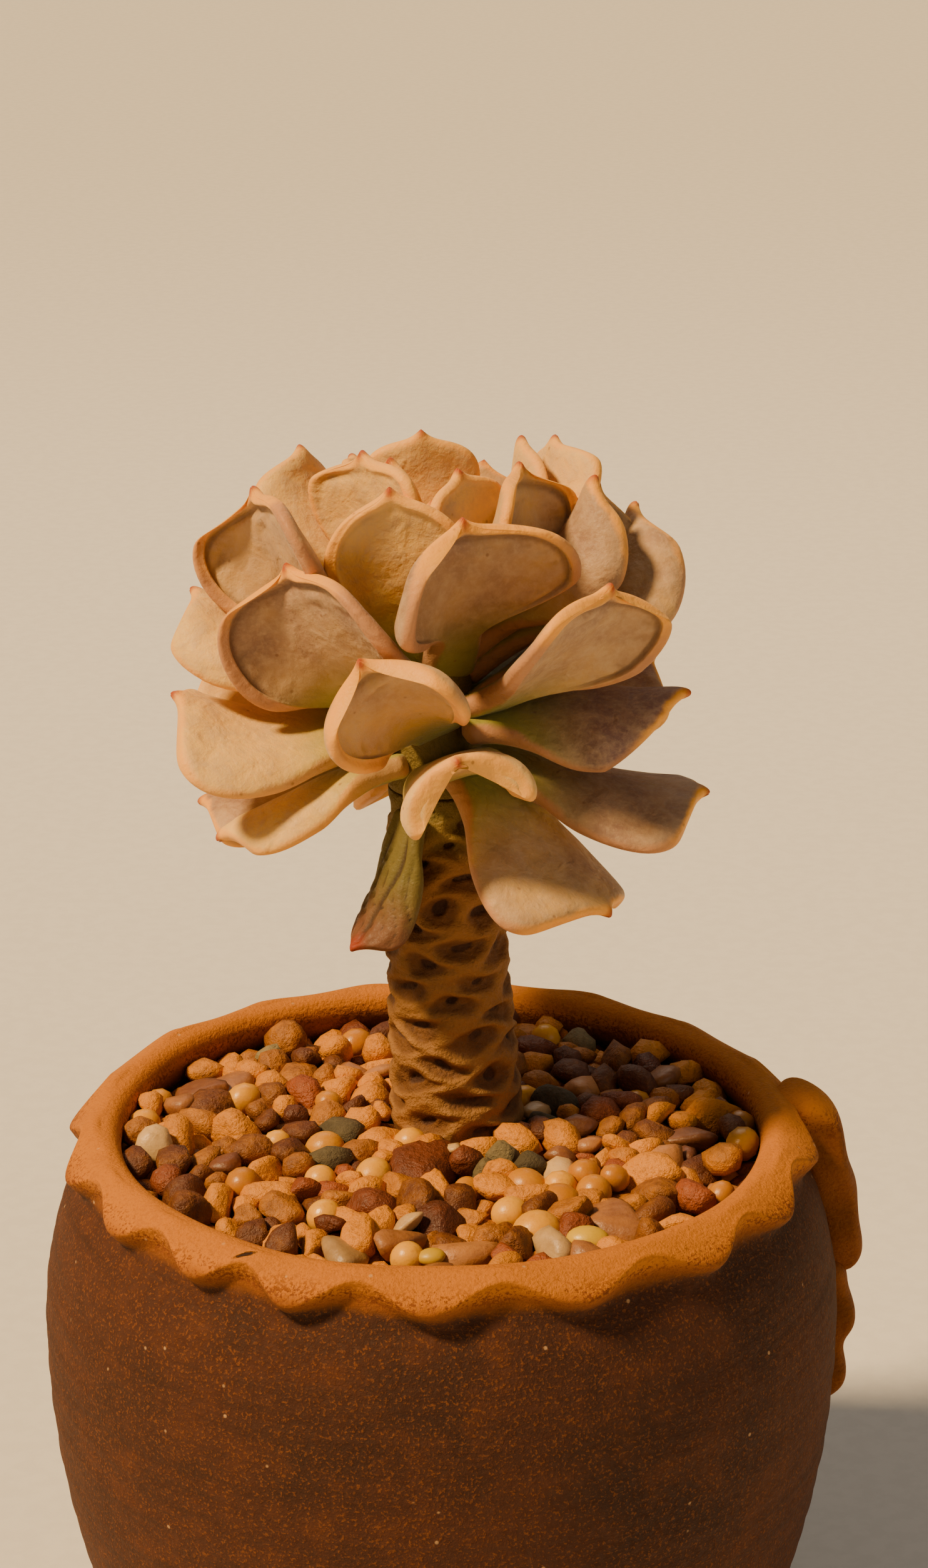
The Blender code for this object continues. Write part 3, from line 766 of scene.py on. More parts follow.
@dataclass
class ScarredStem:
    """The bare stem: a raised net of pale ridges round the scars that shed leaves left.

    The scars climb the stem a golden angle apart, as the leaves above still do.

    scar_rise: height from each scar to the next
    first_scar: azimuth and height of one of them
    scar_half, scar_depth: half the width and height of a scar, and how deep it is
    scar_kinds: how many scars differ before they repeat
    soil_level, shown_from, faint_from, young_from: heights of the soil, of the net's lower end, and
        from which the net grows faint and the skin green
    """

    line: StemLine
    rows: int = 230
    columns: int = 216
    scar_rise: float = 0.59
    first_scar: tuple[float, float] = (2.0, 89.0)
    ridge_height: float = 0.95
    scar_half: tuple[float, float] = (2.5, 0.75)
    scar_depth: float = 0.5
    scar_kinds: int = 97
    soil_level: float = 67.0
    shown_from: float = 70.0
    faint_from: float = 111.0
    young_from: float = 104.0
    seed: int = 5

    def skin(self) -> Surface:
        """Works out the stem's skin.

        Two families of spirals, 3 and 5 of them, cross the stem and part it into a lozenge for
        each leaf that was shed. Radius = the stem's own, less a hollow in each lozenge, an even
        step of the product of the two families' cosines, less a lens shaped scar in it.

        Returns:
            The closed skin, carrying how much ridge, scar and young skin each point has.
        """
        rng = np.random.default_rng(self.seed)
        line = self.line
        row = np.linspace(0.0, 1.0, self.rows)[:, None]
        height = np.interp(row, (0.0, 0.06, 1.0), (line.foot, self.soil_level, line.top))
        azimuth = steps_round(self.columns, 360.0)
        turn = np.radians(azimuth)
        swayed = azimuth - self.first_scar[0] + 4.5 * np.sin(height * 0.62 + 2.0 * turn)
        swayed = swayed + 2.5 * np.sin(height * 1.7 - 3.0 * turn)
        climbed = height - self.first_scar[1] + 0.5 * np.sin(3.0 * turn + height * 0.4)
        climbed = (climbed + 0.25 * np.sin(5.0 * turn - height * 1.3)) / self.scar_rise
        drift = [f * GOLDEN_ANGLE / 360.0 - round(f * GOLDEN_ANGLE / 360.0) for f in (3, 5)]
        u, v = 3.0 * swayed / 360.0 + drift[0] * climbed, 5.0 * swayed / 360.0 + drift[1] * climbed
        du, dv = u - np.round(u), v - np.round(v)
        which = (5 * np.round(u) - 3 * np.round(v)).astype(int) % self.scar_kinds
        cell = smooth(np.abs(np.cos(math.pi * u)) * np.abs(np.cos(math.pi * v)) / 0.95)
        girth = line.radius(height)
        x = np.radians(360.0 * (dv * drift[0] - du * drift[1])) * girth
        z = self.scar_rise * (5.0 * du - 3.0 * dv)
        shown = smooth((height - self.shown_from) / 3.0)
        shown = shown * (1.0 - 0.75 * smooth((height - self.faint_from) / 4.0))
        worn, broad, deep = (rng.uniform(low, high, self.scar_kinds)[which]
                             for low, high in ((0.75, 1.1), (0.35, 1.05), (0.5, 1.0)))
        half_x, half_z = self.scar_half
        lens = 1.0 - (x / (half_x * broad)) ** 2 - ((z - 0.3 - 0.14 * x) / half_z) ** 2
        scar = smooth(lens * 1.5) * deep * shown
        pits = sum(bell(np.hypot(x - at, z - 0.3), 0.3) for at in (-0.9, 0.0, 0.9))
        radius = girth + 0.1 * shown - self.ridge_height * shown * cell * worn
        radius = radius - self.scar_depth * scar - 0.25 * pits * scar
        gnarled = 0.12 * np.sin(7.0 * turn + height * 0.9) * np.sin(height * 1.9 + 2.0 * turn)
        radius = radius + shown * (gnarled + 0.07 * np.sin(11.0 * turn - height * 2.3))
        ridge = smooth((0.8 - cell) / 0.8) * shown
        young = np.broadcast_to(smooth((height - self.young_from) / 10.0), radius.shape)
        return closed_skin(line.around(height, azimuth, radius), {
            "ridge": ridge, "scar": np.clip(scar + 0.4 * pits * scar, 0.0, 1.0), "young": young})

    def crown(self) -> Surface:
        """Works out the growing crown that the leaves' roots sink into.

        It has the stem's girth, rounded off at its top as an ellipse is.

        Returns:
            The closed skin, carrying the same values as the stem's.
        """
        line = self.line
        ring = np.linspace(0.0, 1.0, 40)[:, None]
        height = line.top + 0.3 + (line.crown_top - line.top - 0.3) * ring
        azimuth = steps_round(48, 360.0)
        round_off = np.sqrt(np.clip(1.0 - between(ring, 0.6, 1.0) ** 2, 0.0004, 1.0))
        radius = line.radius(height) * round_off * np.ones_like(azimuth)
        none = np.zeros_like(radius)
        return closed_skin(line.around(height, azimuth, radius), {
            "ridge": none + 0.3, "scar": none, "young": none + 1.0})

    def build(self) -> None:
        """Builds the stem and the crown in their corky skin."""
        skin = StemSkin().material()
        make_piece("scarred_stem", self.skin(), skin, "stem")
        make_piece("growing_crown", self.crown(), skin, "rosette")


# ---------------------------------------------------------------- leaves


@dataclass(frozen=True)
class Leaf:
    """One leaf: where it is rooted, how it is held, how it is shaped and how pale it is.

    heading: azimuth that the blade points to
    root: height of its root on the stem
    rise: angle of the blade above the level at its root
    bend: how far the blade has turned upwards by its tip
    length, width: length along the midrib from the stem's skin, width measured round the arch
    left, right: how far each margin has rolled back at the widest place
    roll: turn of the blade about its midrib, left margin down
    foot: azimuth of the root itself, where the blade sweeps aside from it
    full: where along the blade it is widest, 0 to 1
    blunt: how square the blade's end is
    thick: thickness of its flesh near the root
    neck: how wide its root is, as a share of its width
    curl: how much further the very edge has rolled
    waist: how much of its length stays as narrow as its root
    tone: 0 for mauve to 1 for sunned cream, partly painted light: higher where the key light falls
    """

    heading: float
    root: float
    rise: float
    bend: float
    length: float
    width: float
    left: float = 70.0
    right: float = 70.0
    roll: float = 0.0
    foot: float | None = None
    full: float = 0.80
    blunt: float = 2.6
    thick: float = 3.0
    neck: float = 0.33
    curl: float = 45.0
    waist: float = 0.0
    tone: float = 0.4


# Their tones are partly painted light: paler at the left, where the key light falls, and darker at the
# right
FRONT_LEAVES = (
    Leaf(14, 129.5, 54, 24, 21.5, 28.5, 104, 30, roll=10, foot=46, full=0.68, blunt=2.5, neck=0.24,
         curl=30, waist=0.32, tone=0.2),
    Leaf(-61, 125, 37, 40, 22.5, 28.5, 95, 34, roll=23, foot=-42, full=0.64, blunt=2.7, neck=0.43,
         curl=40, waist=0.05, tone=0.2),
    Leaf(-20, 130, 67, 14, 22, 17.5, 35, 15, roll=14, foot=-37, full=0.71, blunt=1.9, neck=0.48,
         curl=55, tone=0.75),
    Leaf(-18, 123.5, 22, 40, 20.5, 23.5, 118, 102, roll=31, foot=12, full=0.82, blunt=2.2, neck=0.32,
         waist=0.12, tone=0.45),
    Leaf(2, 118, 23, -4, 19, 23, 118, 119, roll=18, foot=28, full=0.83, blunt=3.3, neck=0.36, curl=40,
         tone=0.7),
    Leaf(54, 124.5, 27, 40, 26, 23.5, 23, 65, roll=-8, foot=64, full=0.73, blunt=4, neck=0.25,
         waist=0.25, tone=0.3),
    Leaf(94, 124, 3, 6, 24.5, 20.5, 90, 53, roll=4, foot=66, full=0.64, blunt=1.2, neck=0.62, curl=25,
         waist=0.1, tone=0.1),
    Leaf(85, 119, -12, 12, 26, 24, 55, 60, tone=0.2),
    Leaf(52, 118.5, -31, -2, 23, 28, 40, 60, roll=-8, tone=0.35),
    Leaf(-90, 122, -4, 36, 25.5, 28.5, 83, 43, roll=-5, foot=-84, full=0.78, blunt=2.5, neck=0.27,
         curl=35, waist=0.05, tone=0.9),
    Leaf(-84, 118.5, -12, -21, 21.5, 19, 79, 91, roll=17, foot=-61, full=0.73, blunt=2.4, neck=0.5,
         curl=10, tone=0.9),
    Leaf(-94, 118, -16, 8, 22.5, 18, tone=0.3),
    Leaf(-107, 129.5, 3, 31, 26, 23, 77, 104, roll=11, foot=-86, full=0.75, blunt=3, neck=0.25,
         curl=40, waist=0.1, tone=0.85),
    Leaf(-89, 127, 41, 34, 27.5, 28.5, 115, 12, roll=26, foot=-96, neck=0.25, curl=60, waist=0.2,
         tone=0.35),
    Leaf(-131, 134.5, 27, 40, 25, 20, 60, 59, roll=12, foot=-93, full=0.67, blunt=2.3, neck=0.25,
         curl=75, waist=0.1, tone=0.75),
    Leaf(110, 123.5, 30, 40, 31, 31, 119, 49, roll=-28, foot=107, full=0.73, blunt=1.8, neck=0.36,
         curl=20, tone=0.25),
    Leaf(101, 130.5, 37, 36, 25, 21.5, 111, 99, roll=-1, foot=105, full=0.74, blunt=1.7, neck=0.28,
         curl=35, waist=0.2, tone=0.3),
    Leaf(82, 131, 56, 40, 22, 21, 48, 79, roll=-22, foot=112, full=0.67, blunt=2.9, neck=0.39, curl=65),
)

# Their tones are partly painted light too, rising towards the left, where the key light falls
BACK_LEAVES = (
    Leaf(186, 133, 71, 27, 21.5, 14, 17, 15, roll=-2, foot=196, full=0.81, blunt=2.5, neck=0.26,
         curl=30, waist=0.1, tone=1.1),
    Leaf(222, 133, 44, 21, 22, 14, 77, 31, roll=58, foot=203, full=0.88, blunt=1.8, neck=0.5, curl=65,
         waist=0.05, tone=1.1),
    Leaf(131, 130, 47, 36, 26, 13.5, 45, 35, roll=-32, foot=121, full=0.74, blunt=1.9, neck=0.25,
         curl=25, tone=0.8),
    Leaf(128, 130, 38, 39, 28, 19, 40, 41, roll=-20, foot=133, full=0.84, blunt=3.7, neck=0.35,
         curl=15, waist=0.2, tone=0.7),
    Leaf(126, 128, 36, 18, 27, 22, tone=0.3),
    Leaf(165, 128, 41, 16, 26, 23, 80, 90, roll=8, tone=0.35),
    Leaf(204, 128, 40, 16, 26, 23, 90, 80, roll=-8, tone=0.5),
    Leaf(224, 127, 30, 18, 25, 20, tone=0.55),
    Leaf(145, 125, 13, 15, 26, 23, 75, 75, tone=0.3),
    Leaf(186, 125, 11, 14, 25.5, 23, 85, 85, tone=0.45),
    Leaf(226, 125, 13, 15, 25, 22, 80, 70, tone=0.6),
    Leaf(112, 123, 5, 16, 23, 22, tone=0.25),
    Leaf(165, 121.5, -6, 10, 25.5, 22, 70, 80, tone=0.5),
    Leaf(207, 121.5, -8, 12, 25.5, 22, 80, 70, tone=0.6),
    Leaf(247, 122, 2, 20, 24.5, 21, tone=0.7),
    Leaf(128, 118.5, -22, 8, 24.5, 21, 60, 70, tone=0.5),
    Leaf(184, 118, -28, 6, 23.5, 21, 65, 65, tone=0.6),
    Leaf(232, 118.5, -22, 8, 23.5, 20, 70, 60, tone=0.7),
)

# The outer leaves of the heart, then the young ones, which stand ever steeper; their high tones
# are partly the paleness of young skin and partly painted light
HEART_LEAVES = (
    Leaf(-75, 134.5, 68, 16, 19.5, 18.5, 38, 16, roll=28, foot=-80, full=0.77, blunt=3.5, neck=0.4,
         curl=18, waist=0.15, tone=1.2),
    Leaf(45, 131.5, 69, 38, 20.5, 13.5, 8, 19, roll=5, foot=68, full=0.76, blunt=2.8, neck=0.28,
         curl=20, tone=1.2),
    Leaf(-51, 134.5, 78, 3, 18.5, 9, 15, 15, roll=8, foot=-80, full=0.71, blunt=2.4, neck=0.4, curl=15,
         tone=1.25),
    Leaf(118, 134, 78, 5, 13, 10, 45, 45, foot=130, thick=2.6, tone=0.8),
    Leaf(222, 134.4, 78, 5, 13, 10, 45, 45, thick=2.6, tone=0.8),
    Leaf(168, 134.8, 82, 4, 11.5, 8.5, 45, 45, thick=2.4, tone=0.75),
    Leaf(200, 135.4, 86, 2, 9, 6.5, 40, 40, thick=2.2, tone=0.75),
)

WITHERED_LEAF = Leaf(-46, 114, -65, 15, 15, 11.5, 66, 80, roll=13, foot=-11, thick=2,
                     neck=0.51, curl=50, tone=0.4)


@dataclass
class BladeMaker:
    """Works out a leaf's skin from its few numbers.

    The midrib is an arc. Across it the blade is an arch whose margins roll back further the
    nearer they are to the edge. The flesh stands off that arch on both sides, and rounds off
    towards the margin as a bead does.

    root_sunk: how deep the root sinks into the stem
    rows, body_rows: rows of points along the blade, and the share of them before its rounded end
    end_roll: how far the blade's end rolls back, in degrees
    curl_power: how late the very edge curls
    lip, groove, pucker: heights of the lip, the groove behind it and the puckers behind that
    point: how far the small tip stands out
    creases: depth of a dry leaf's creases
    """

    line: StemLine
    root_sunk: float = 2.2
    rows: int = 58
    body_rows: float = 0.58
    columns: int = 60
    end_roll: float = 26.0
    curl_power: float = 14.0
    lip: float = 0.26
    groove: float = 0.45
    pucker: float = 0.17
    point: float = 1.35
    creases: float = 0.0

    def skin(self, leaf: Leaf, number: int, out: float = 0.0) -> Surface:
        """Works out one leaf's skin.

        Args:
            leaf: The leaf.
            number: Its number, which seeds its own small dents.
            out: How far its foot stands off its place, in millimetres.

        Returns:
            The closed skin. Its points carry how far the margin and the tip are, in
            millimetres, how far along the blade they lie, the leaf's tone, and the painted shade of its
            creases: in the groove behind the lip and the puckers' troughs, or in a dry leaf's creases.
        """
        rng = np.random.default_rng(100 + number)
        start = leaf.full - 0.03
        u = np.linspace(0.012, 1.0, self.rows)[:, None]
        before = u < self.body_rows
        turned = math.pi / 2.0 * (1.0 - (1.0 - between(u, self.body_rows, 1.0)) ** 1.45)
        late = np.sin(turned) ** (2.0 / leaf.blunt)
        s = np.where(before, start * u / self.body_rows, start + (1.0 - start) * late)
        s, late = np.minimum(s, 0.9999), np.where(before, 0.0, np.minimum(late, 0.9996))
        length = leaf.length + self.root_sunk

        # Width of the blade, as it is before its end and with the end's rounding
        body = leaf.neck + (1.0 - leaf.neck) * smooth((s - leaf.waist) / (leaf.full - leaf.waist))
        base = np.sqrt(1.0 - (1.0 - between(s, 0.0, 0.06)) ** 2)
        full_half = leaf.width / 2.0 * body * base
        end = (1.0 - late**leaf.blunt) ** (1.0 / leaf.blunt)
        half = full_half * end

        # Round the section: right margin, upper side, left margin, under side
        turn = steps_round(self.columns)
        across = np.cos(turn) * np.ones_like(s)
        upper = np.sin(turn) >= 0.0
        a = np.abs(across) * end
        power = leaf.blunt
        q = np.maximum((a**power + late**power) ** (1.0 / power), 1e-3)
        slope_x = q ** (1.0 - power) * a ** (power - 1.0) / np.maximum(full_half, 0.3)
        slope_y = q ** (1.0 - power) * late ** (power - 1.0) / ((1.0 - start) * length)
        margin = np.clip((1.0 - q) / np.maximum(np.hypot(slope_x, slope_y), 1e-6), 0.0, full_half)
        margin = np.where(np.abs(np.abs(across) - 1.0) < 1e-9, 0.0, margin)

        # The midrib's arc, summed by short steps, whose end rolls back a little too
        rise, roll = math.radians(leaf.rise), math.radians(leaf.roll)
        along = outward(leaf.heading) * math.cos(rise) + (0.0, 0.0, math.sin(rise))
        level = outward(leaf.heading + 90.0)
        above = np.cross(along, level)
        side = level * math.cos(roll) + above * math.sin(roll)
        above = above * math.cos(roll) - level * math.sin(roll)
        steps = np.linspace(0.0, 1.0, 161)
        bend = self.bend_at(leaf, steps)
        tangents = np.cos(bend)[:, None] * along + np.sin(bend)[:, None] * above
        middles = (tangents[1:] + tangents[:-1]) / 2.0 * (steps[1] * length)
        rib = np.concatenate([np.zeros((1, 3)), np.cumsum(middles, 0)])
        here = np.stack([np.interp(s, steps, rib[:, k]) for k in range(3)], -1)
        bend = self.bend_at(leaf, s)[..., None]
        tangent = np.cos(bend) * along + np.sin(bend) * above
        normal = np.cos(bend) * above - np.sin(bend) * along

        # The arch across the blade, summed from the midrib out to each point
        rolled = np.radians(np.where(across >= 0.0, leaf.right, leaf.left))
        grow = smooth((s - 0.12) / 0.42)
        cuts = np.linspace(0.0, 1.0, 25) * np.abs(across)[..., None]
        angle = (rolled * grow)[..., None] * (0.55 * cuts + 0.45 * cuts**3)
        angle = angle + math.radians(leaf.curl) * grow[..., None] * cuts**self.curl_power
        widths = np.diff(cuts, axis=-1)
        reach, drop = (
            ((way[..., 1:] + way[..., :-1]) / 2.0 * widths).sum(-1) * half
            for way in (np.cos(angle), np.sin(angle)))
        edge = angle[..., -1]
        hand = np.where(across >= 0.0, 1.0, -1.0)

        # Flesh, rounded towards the margin, with a lip and a groove behind it underneath
        thick = leaf.thick * (1.0 - 0.5 * between(s, 0.3, 0.8)) * base / 2.0
        bead = np.clip(margin / np.minimum(thick * 0.95, np.maximum(full_half, 0.05)), 0.0, 1.0)
        flesh = thick * np.sqrt(1.0 - (1.0 - bead) ** 2)
        ripe = smooth((s - 0.35) / 0.3)
        grown = float(smooth((leaf.width - 15.0) / 9.0))
        young = 0.3 + 0.7 * grown * (1.0 - 0.6 * float(smooth((leaf.tone - 0.4) / 0.6)))
        lip = (self.lip * bell(margin - 0.6, 0.42) - self.groove * bell(margin - 1.5, 0.5)) * young
        flat_x, flat_y = across * half, s * length
        phase = rng.uniform(0.0, ONCE_ROUND, 6)
        waves = np.sin(flat_y * 2.1 + 0.9 * flat_x * hand + phase[0]) * np.sin(flat_x * 0.55 + phase[1])
        ripples = np.sin(flat_y * 3.3 - 0.8 * flat_x + phase[2]) * np.sin(flat_y * 0.6 + phase[3])
        waves = waves + 0.7 * ripples
        dents = 0.2 * np.sin(flat_x * 0.42 + phase[4]) * np.sin(flat_y * 0.38 + phase[5])
        behind = smooth((margin - 1.3) / 1.4)
        pucker = self.pucker * grown * waves * behind * (0.2 + 1.1 * bell(margin - 3.0, 1.8))
        under = flesh + (lip + pucker) * ripe * np.minimum(bead, 1.0)
        lift = np.where(upper, flesh, -under) + dents * behind * ripe
        # Painted shade: how dark the groove behind the lip and the puckers' troughs are painted, on the
        # underside only
        fold_shade = bell(margin - 1.5, 0.42)
        fold_shade = fold_shade + 0.55 * np.clip(-waves, 0.0, 1.0) * behind * bell(margin - 3.0, 1.5)
        crease = np.where(upper, 0.0, fold_shade) * ripe * young * smooth(margin / 0.8)
        if self.creases:
            # A dry leaf's creases, dented into the flesh and painted dark as their shade
            wide = np.sin(across * 3.4 + 0.8 * np.sin(s * 5.2 + phase[0]) + phase[2])
            fine = np.sin(across * 9.7 + 1.9 * np.sin(s * 8.1 + phase[1]) + 1.3 * np.sin(s * 3.0))
            crease = np.maximum(bell(wide, 0.34), 0.8 * bell(fine, 0.42) * smooth((s - 0.15) / 0.3))
            crease = crease * smooth(margin / 0.8) * smooth(s / 0.3)
            lift = lift - np.where(upper, 1.0, -1.0) * self.creases * crease * smooth(margin / 0.8)

        x = hand * (reach + lift * np.sin(edge))
        z = lift * np.cos(edge) - drop
        off_tip = np.hypot((1.0 - s) * length, flat_x)
        point = self.point * np.exp(-(off_tip**1.25))
        heading = leaf.heading if leaf.foot is None else leaf.foot
        sunk = self.line.radius(leaf.root) - self.root_sunk
        root = self.line.axis(leaf.root) + outward(heading) * sunk + outward(leaf.heading) * out
        grid = root + here + x[..., None] * side + z[..., None] * normal
        grid = grid + point[..., None] * (0.85 * tangent + 0.5 * normal)
        return closed_skin(grid, {
            "margin": margin, "tip": off_tip, "along": s * np.ones_like(across),
            "tone": np.full_like(across, leaf.tone), "crease": crease,
        })

    def bend_at(self, leaf: Leaf, s: np.ndarray) -> np.ndarray:
        """How far the midrib has turned by s: its bend times s to the 1.7, less the end's roll."""
        rolled = self.end_roll * between(s, 0.9, 1.0) ** 2
        return np.radians(leaf.bend * s**1.7 - rolled)


@dataclass
class Rosette:
    """All the leaves: those that face the viewer, those at the back, and the heart's.

    The withered leaf stands dry_clear off its root's place, so that it only touches the stem.
    """

    line: StemLine
    dry_clear: float = 0.8

    def build(self) -> None:
        """Builds three bunches of leaves and the withered one."""
        skin = PowderyLeaf().material()
        fine = BladeMaker(self.line, columns=84)
        plain = BladeMaker(self.line, rows=46, columns=48)
        bunches = {
            "front_leaves": (fine, FRONT_LEAVES, 0),
            "back_leaves": (plain, BACK_LEAVES, 20),
            "heart_leaves": (plain, HEART_LEAVES, 40),
        }
        for name, (maker, leaves, first) in bunches.items():
            blades = [maker.skin(leaf, first + i) for i, leaf in enumerate(leaves)]
            make_piece(name, joined(blades), skin, "rosette")
        dry = BladeMaker(self.line, lip=0.1, groove=0.1, pucker=0.2, creases=0.5, end_roll=10.0)
        blade = dry.skin(WITHERED_LEAF, 60, out=dry.root_sunk + self.dry_clear)
        make_piece("dry_withered_leaf", blade, WitheredSkin().material(), "withered_leaf")


# ---------------------------------------------------------------- pot


@dataclass
class PinchedPot:
    """The clay pot: turned on a wheel, its lip then pinched out and down into lobes.

    inner_wall, rim, outer_wall: the turned section, from the floor's edge over the lip to the foot
    spans, navel: steps between two of its points, and radius of the floor's middle, left flat
    lobes: azimuth of each lobe
    flare, droop: how far a lobe stands out and hangs down
    lip_inside, lip_foot: radius from which the pinching moves the lip, and heights in which it sets in
    thumb_at, thumb_depth: radius, height and depth of the thumb's dents between the lobes
    drains, drain_radius, drain_circle: azimuths of the drainage holes, the radius of each, and that
        of the circle that they stand on
    drill_ends: heights between which they are drilled
    strip_upper, strip_lower: the middle lines of the strip's two waves
    """

    edge_radius: float = 44.9
    inner_wall: Line = ((34.0, 6.5), (42.0, 17.0), (43.8, 45.0), (42.2, 62.0))
    rim: Line = (
        (38.9, 72.0), (39.8, 73.8), (41.6, 74.3), (43.5, 73.7), (44.9, 72.4), (44.5, 71.2))
    outer_wall: Line = (
        (43.7, 69.4), (46.3, 64.2), (48.5, 55.0), (48.8, 45.0), (47.9, 33.0), (45.4, 20.0),
        (41.5, 7.0), (39.3, 1.2), (38.6, 0.0))
    spans: int = 10
    navel: float = 1.5
    lobes: tuple[float, ...] = (
        -56, -38, -22, -1.5, 21, 44, 63, 83, 103, 123, 143, 163, 183, 203, 223, 244, 264, 284)
    flare: float = 1.2
    droop: float = 1.45
    lip_inside: float = 41.3
    lip_foot: tuple[float, float] = (68.0, 70.0)
    thumb_at: tuple[float, float] = (43.6, 73.2)
    thumb_depth: float = 0.45
    columns: int = 396
    drains: tuple[float, ...] = (60.0, 180.0, 300.0)
    drain_radius: float = 2.5
    drain_circle: float = 12.0
    drill_ends: tuple[float, float] = (-3.0, 9.5)
    strip_azimuth: float = 99.0
    strip_width: float = 10.0
    strip_thick: float = 3.4
    strip_upper: Line = (
        (41.8, 72.6), (45.6, 73.2), (48.4, 69.6), (50.0, 62.5), (51.4, 55.0), (50.6, 51.8),
        (47.6, 52.6))
    strip_lower: Line = (
        (46.6, 52.5), (49.6, 50.4), (50.4, 45.0), (49.8, 39.5), (48.8, 34.0), (46.2, 31.5))
    seed: int = 3

    def skin(self) -> Surface:
        """Works out the pot's skin.

        The section is turned about Z. On the lip the radius grows and the height falls by a
        wave, a cosine whose crests are the lobes. The outer wall carries the fine level ridges
        that throwing leaves, a sine of the height.

        Returns:
            The closed skin, without its drainage holes.
        """
        rng = np.random.default_rng(self.seed)
        floor = np.linspace([self.navel, self.inner_wall[0][1]], self.inner_wall[0], 5)[:-1]
        wall = curve_through((*self.inner_wall, *self.rim, *self.outer_wall), self.spans)
        under = np.linspace(self.outer_wall[-1], [self.navel, 0.0], 6)[1:]
        section = np.concatenate([floor, wall, under])
        section[:, 1] = np.maximum(section[:, 1], 0.0)
        r0, z0 = section[:, :1], section[:, 1:]
        phase = np.linspace(0.0, len(self.lobes), self.columns, endpoint=False)
        around = np.array([*self.lobes, self.lobes[0] + 360.0, self.lobes[1] + 360.0])
        azimuth = np.interp(phase, np.arange(len(around)), around)[None, :]
        crest = rng.uniform(0.85, 1.1, len(self.lobes))
        crest = np.interp(phase, np.arange(len(crest) + 1), [*crest, crest[0]])
        wave = (np.cos(ONCE_ROUND * phase) * crest)[None, :]
        flare = between(r0, self.lip_inside, self.edge_radius) * between(z0, *self.lip_foot)
        radius = r0 + self.flare * wave * flare
        height = z0 - self.droop * wave * flare
        thumb = 0.5 * (1.0 - np.clip(wave, -1.0, 1.0))
        thumb = thumb * bell(r0 - self.thumb_at[0], 1.6) * bell(z0 - self.thumb_at[1], 1.2)
        height = height - self.thumb_depth * thumb
        turn = np.radians(azimuth)
        inside = len(floor) + self.spans * (len(self.inner_wall) + len(self.rim) - 1)
        outer = (np.arange(len(section)) >= inside)[:, None]
        thrown = (0.07 * np.sin(z0 * 2.9 + 0.8 * np.sin(turn + z0 / 13.0))
                  + 0.05 * np.sin(z0 * 1.13 + 2.0)
                  + 0.10 * np.sin(2.0 * turn + 0.7)
                  + 0.07 * np.sin(3.0 * turn + z0 / 17.0))
        radius = radius + thrown * outer * smooth((66.0 - z0) / 6.0) * smooth(z0 / 4.0)
        uneven = 0.14 * np.sin(5.0 * turn + 0.4) + 0.1 * np.sin(9.0 * turn + 2.0)
        height = height + uneven * smooth((z0 - 69.0) / 2.0)
        grid = outward(azimuth) * radius[..., None]
        grid[..., 2] = height * np.ones_like(azimuth)
        return closed_skin(grid)

    def strip(self, line: Line, presses: int, phase: float) -> Surface:
        """Works out one wave of the crimped strip: a rounded band along a line of (radius, height).

        Its half width swells three times along it, its thickness is pressed thin between, and
        its two long edges lift away from the wall in turn.

        Args:
            line: The band's middle line, in the plane of its azimuth.
            presses: How many finger presses it has along it.
            phase: Where the first press falls, in turns.

        Returns:
            The closed skin.
        """
        path = curve_through(line, 12)
        reach = np.concatenate([[0.0], np.cumsum(np.linalg.norm(np.diff(path, axis=0), axis=1))])
        reach /= reach[-1]
        s = (0.5 - 0.5 * np.cos(np.linspace(0.02, 0.98, 90) * math.pi))[:, None]
        r, z = (np.interp(s, reach, path[:, k]) for k in range(2))
        dr, dz = (np.interp(s + 0.01, reach, path[:, k]) - np.interp(s - 0.01, reach, path[:, k])
                  for k in range(2))
        size = np.hypot(dr, dz) + 1e-9
        turn = steps_round(44)
        round_off = np.sqrt(np.clip(1.0 - np.abs(2.0 * s - 1.0) ** 6, 0.0, 1.0))
        press = np.sin(ONCE_ROUND * (presses * s + phase))
        across = np.sign(np.cos(turn)) * np.abs(np.cos(turn)) ** 0.8 * round_off
        across = across * (1.0 + 0.14 * np.sin(3.0 * ONCE_ROUND * s))
        wide = self.strip_width / 2.0 * across
        thick = self.strip_thick / 2.0 * np.sin(turn) * round_off
        lift = thick * (1.0 - 0.22 * press * (1.0 - across**2)) + 0.35 * press * across * np.abs(across)
        wall = np.array(self.outer_wall[::-1])
        r, z = r - lift * dz / size, z + lift * dr / size
        inner = smooth(-np.sin(turn) * 1.5) * smooth(s / 0.25 if line is self.strip_upper else 1.0)
        r = r + (np.interp(z, wall[:, 1], wall[:, 0]) - 0.5 - r) * np.clip(inner, 0.0, 1.0)
        out = outward(self.strip_azimuth)
        beside = np.array([-out[1], out[0], 0.0])
        up = np.array([0.0, 0.0, 1.0])
        grid = r[..., None] * out + wide[..., None] * beside + z[..., None] * up
        return closed_skin(grid)

    def build(self) -> None:
        """Builds the pot with its drainage holes, and the strip on its side."""
        clay = FiredClay()
        pot = make_piece("pinched_clay_pot", self.skin(), clay.material(), "pot")
        self.drill(pot)
        bands = joined([self.strip(self.strip_upper, 3, 0.1), self.strip(self.strip_lower, 3, 0.55)])
        raw = clay.material("unglazed_earthenware_strip", 0.55)
        make_piece("crimped_clay_strip", bands, raw, "pot")

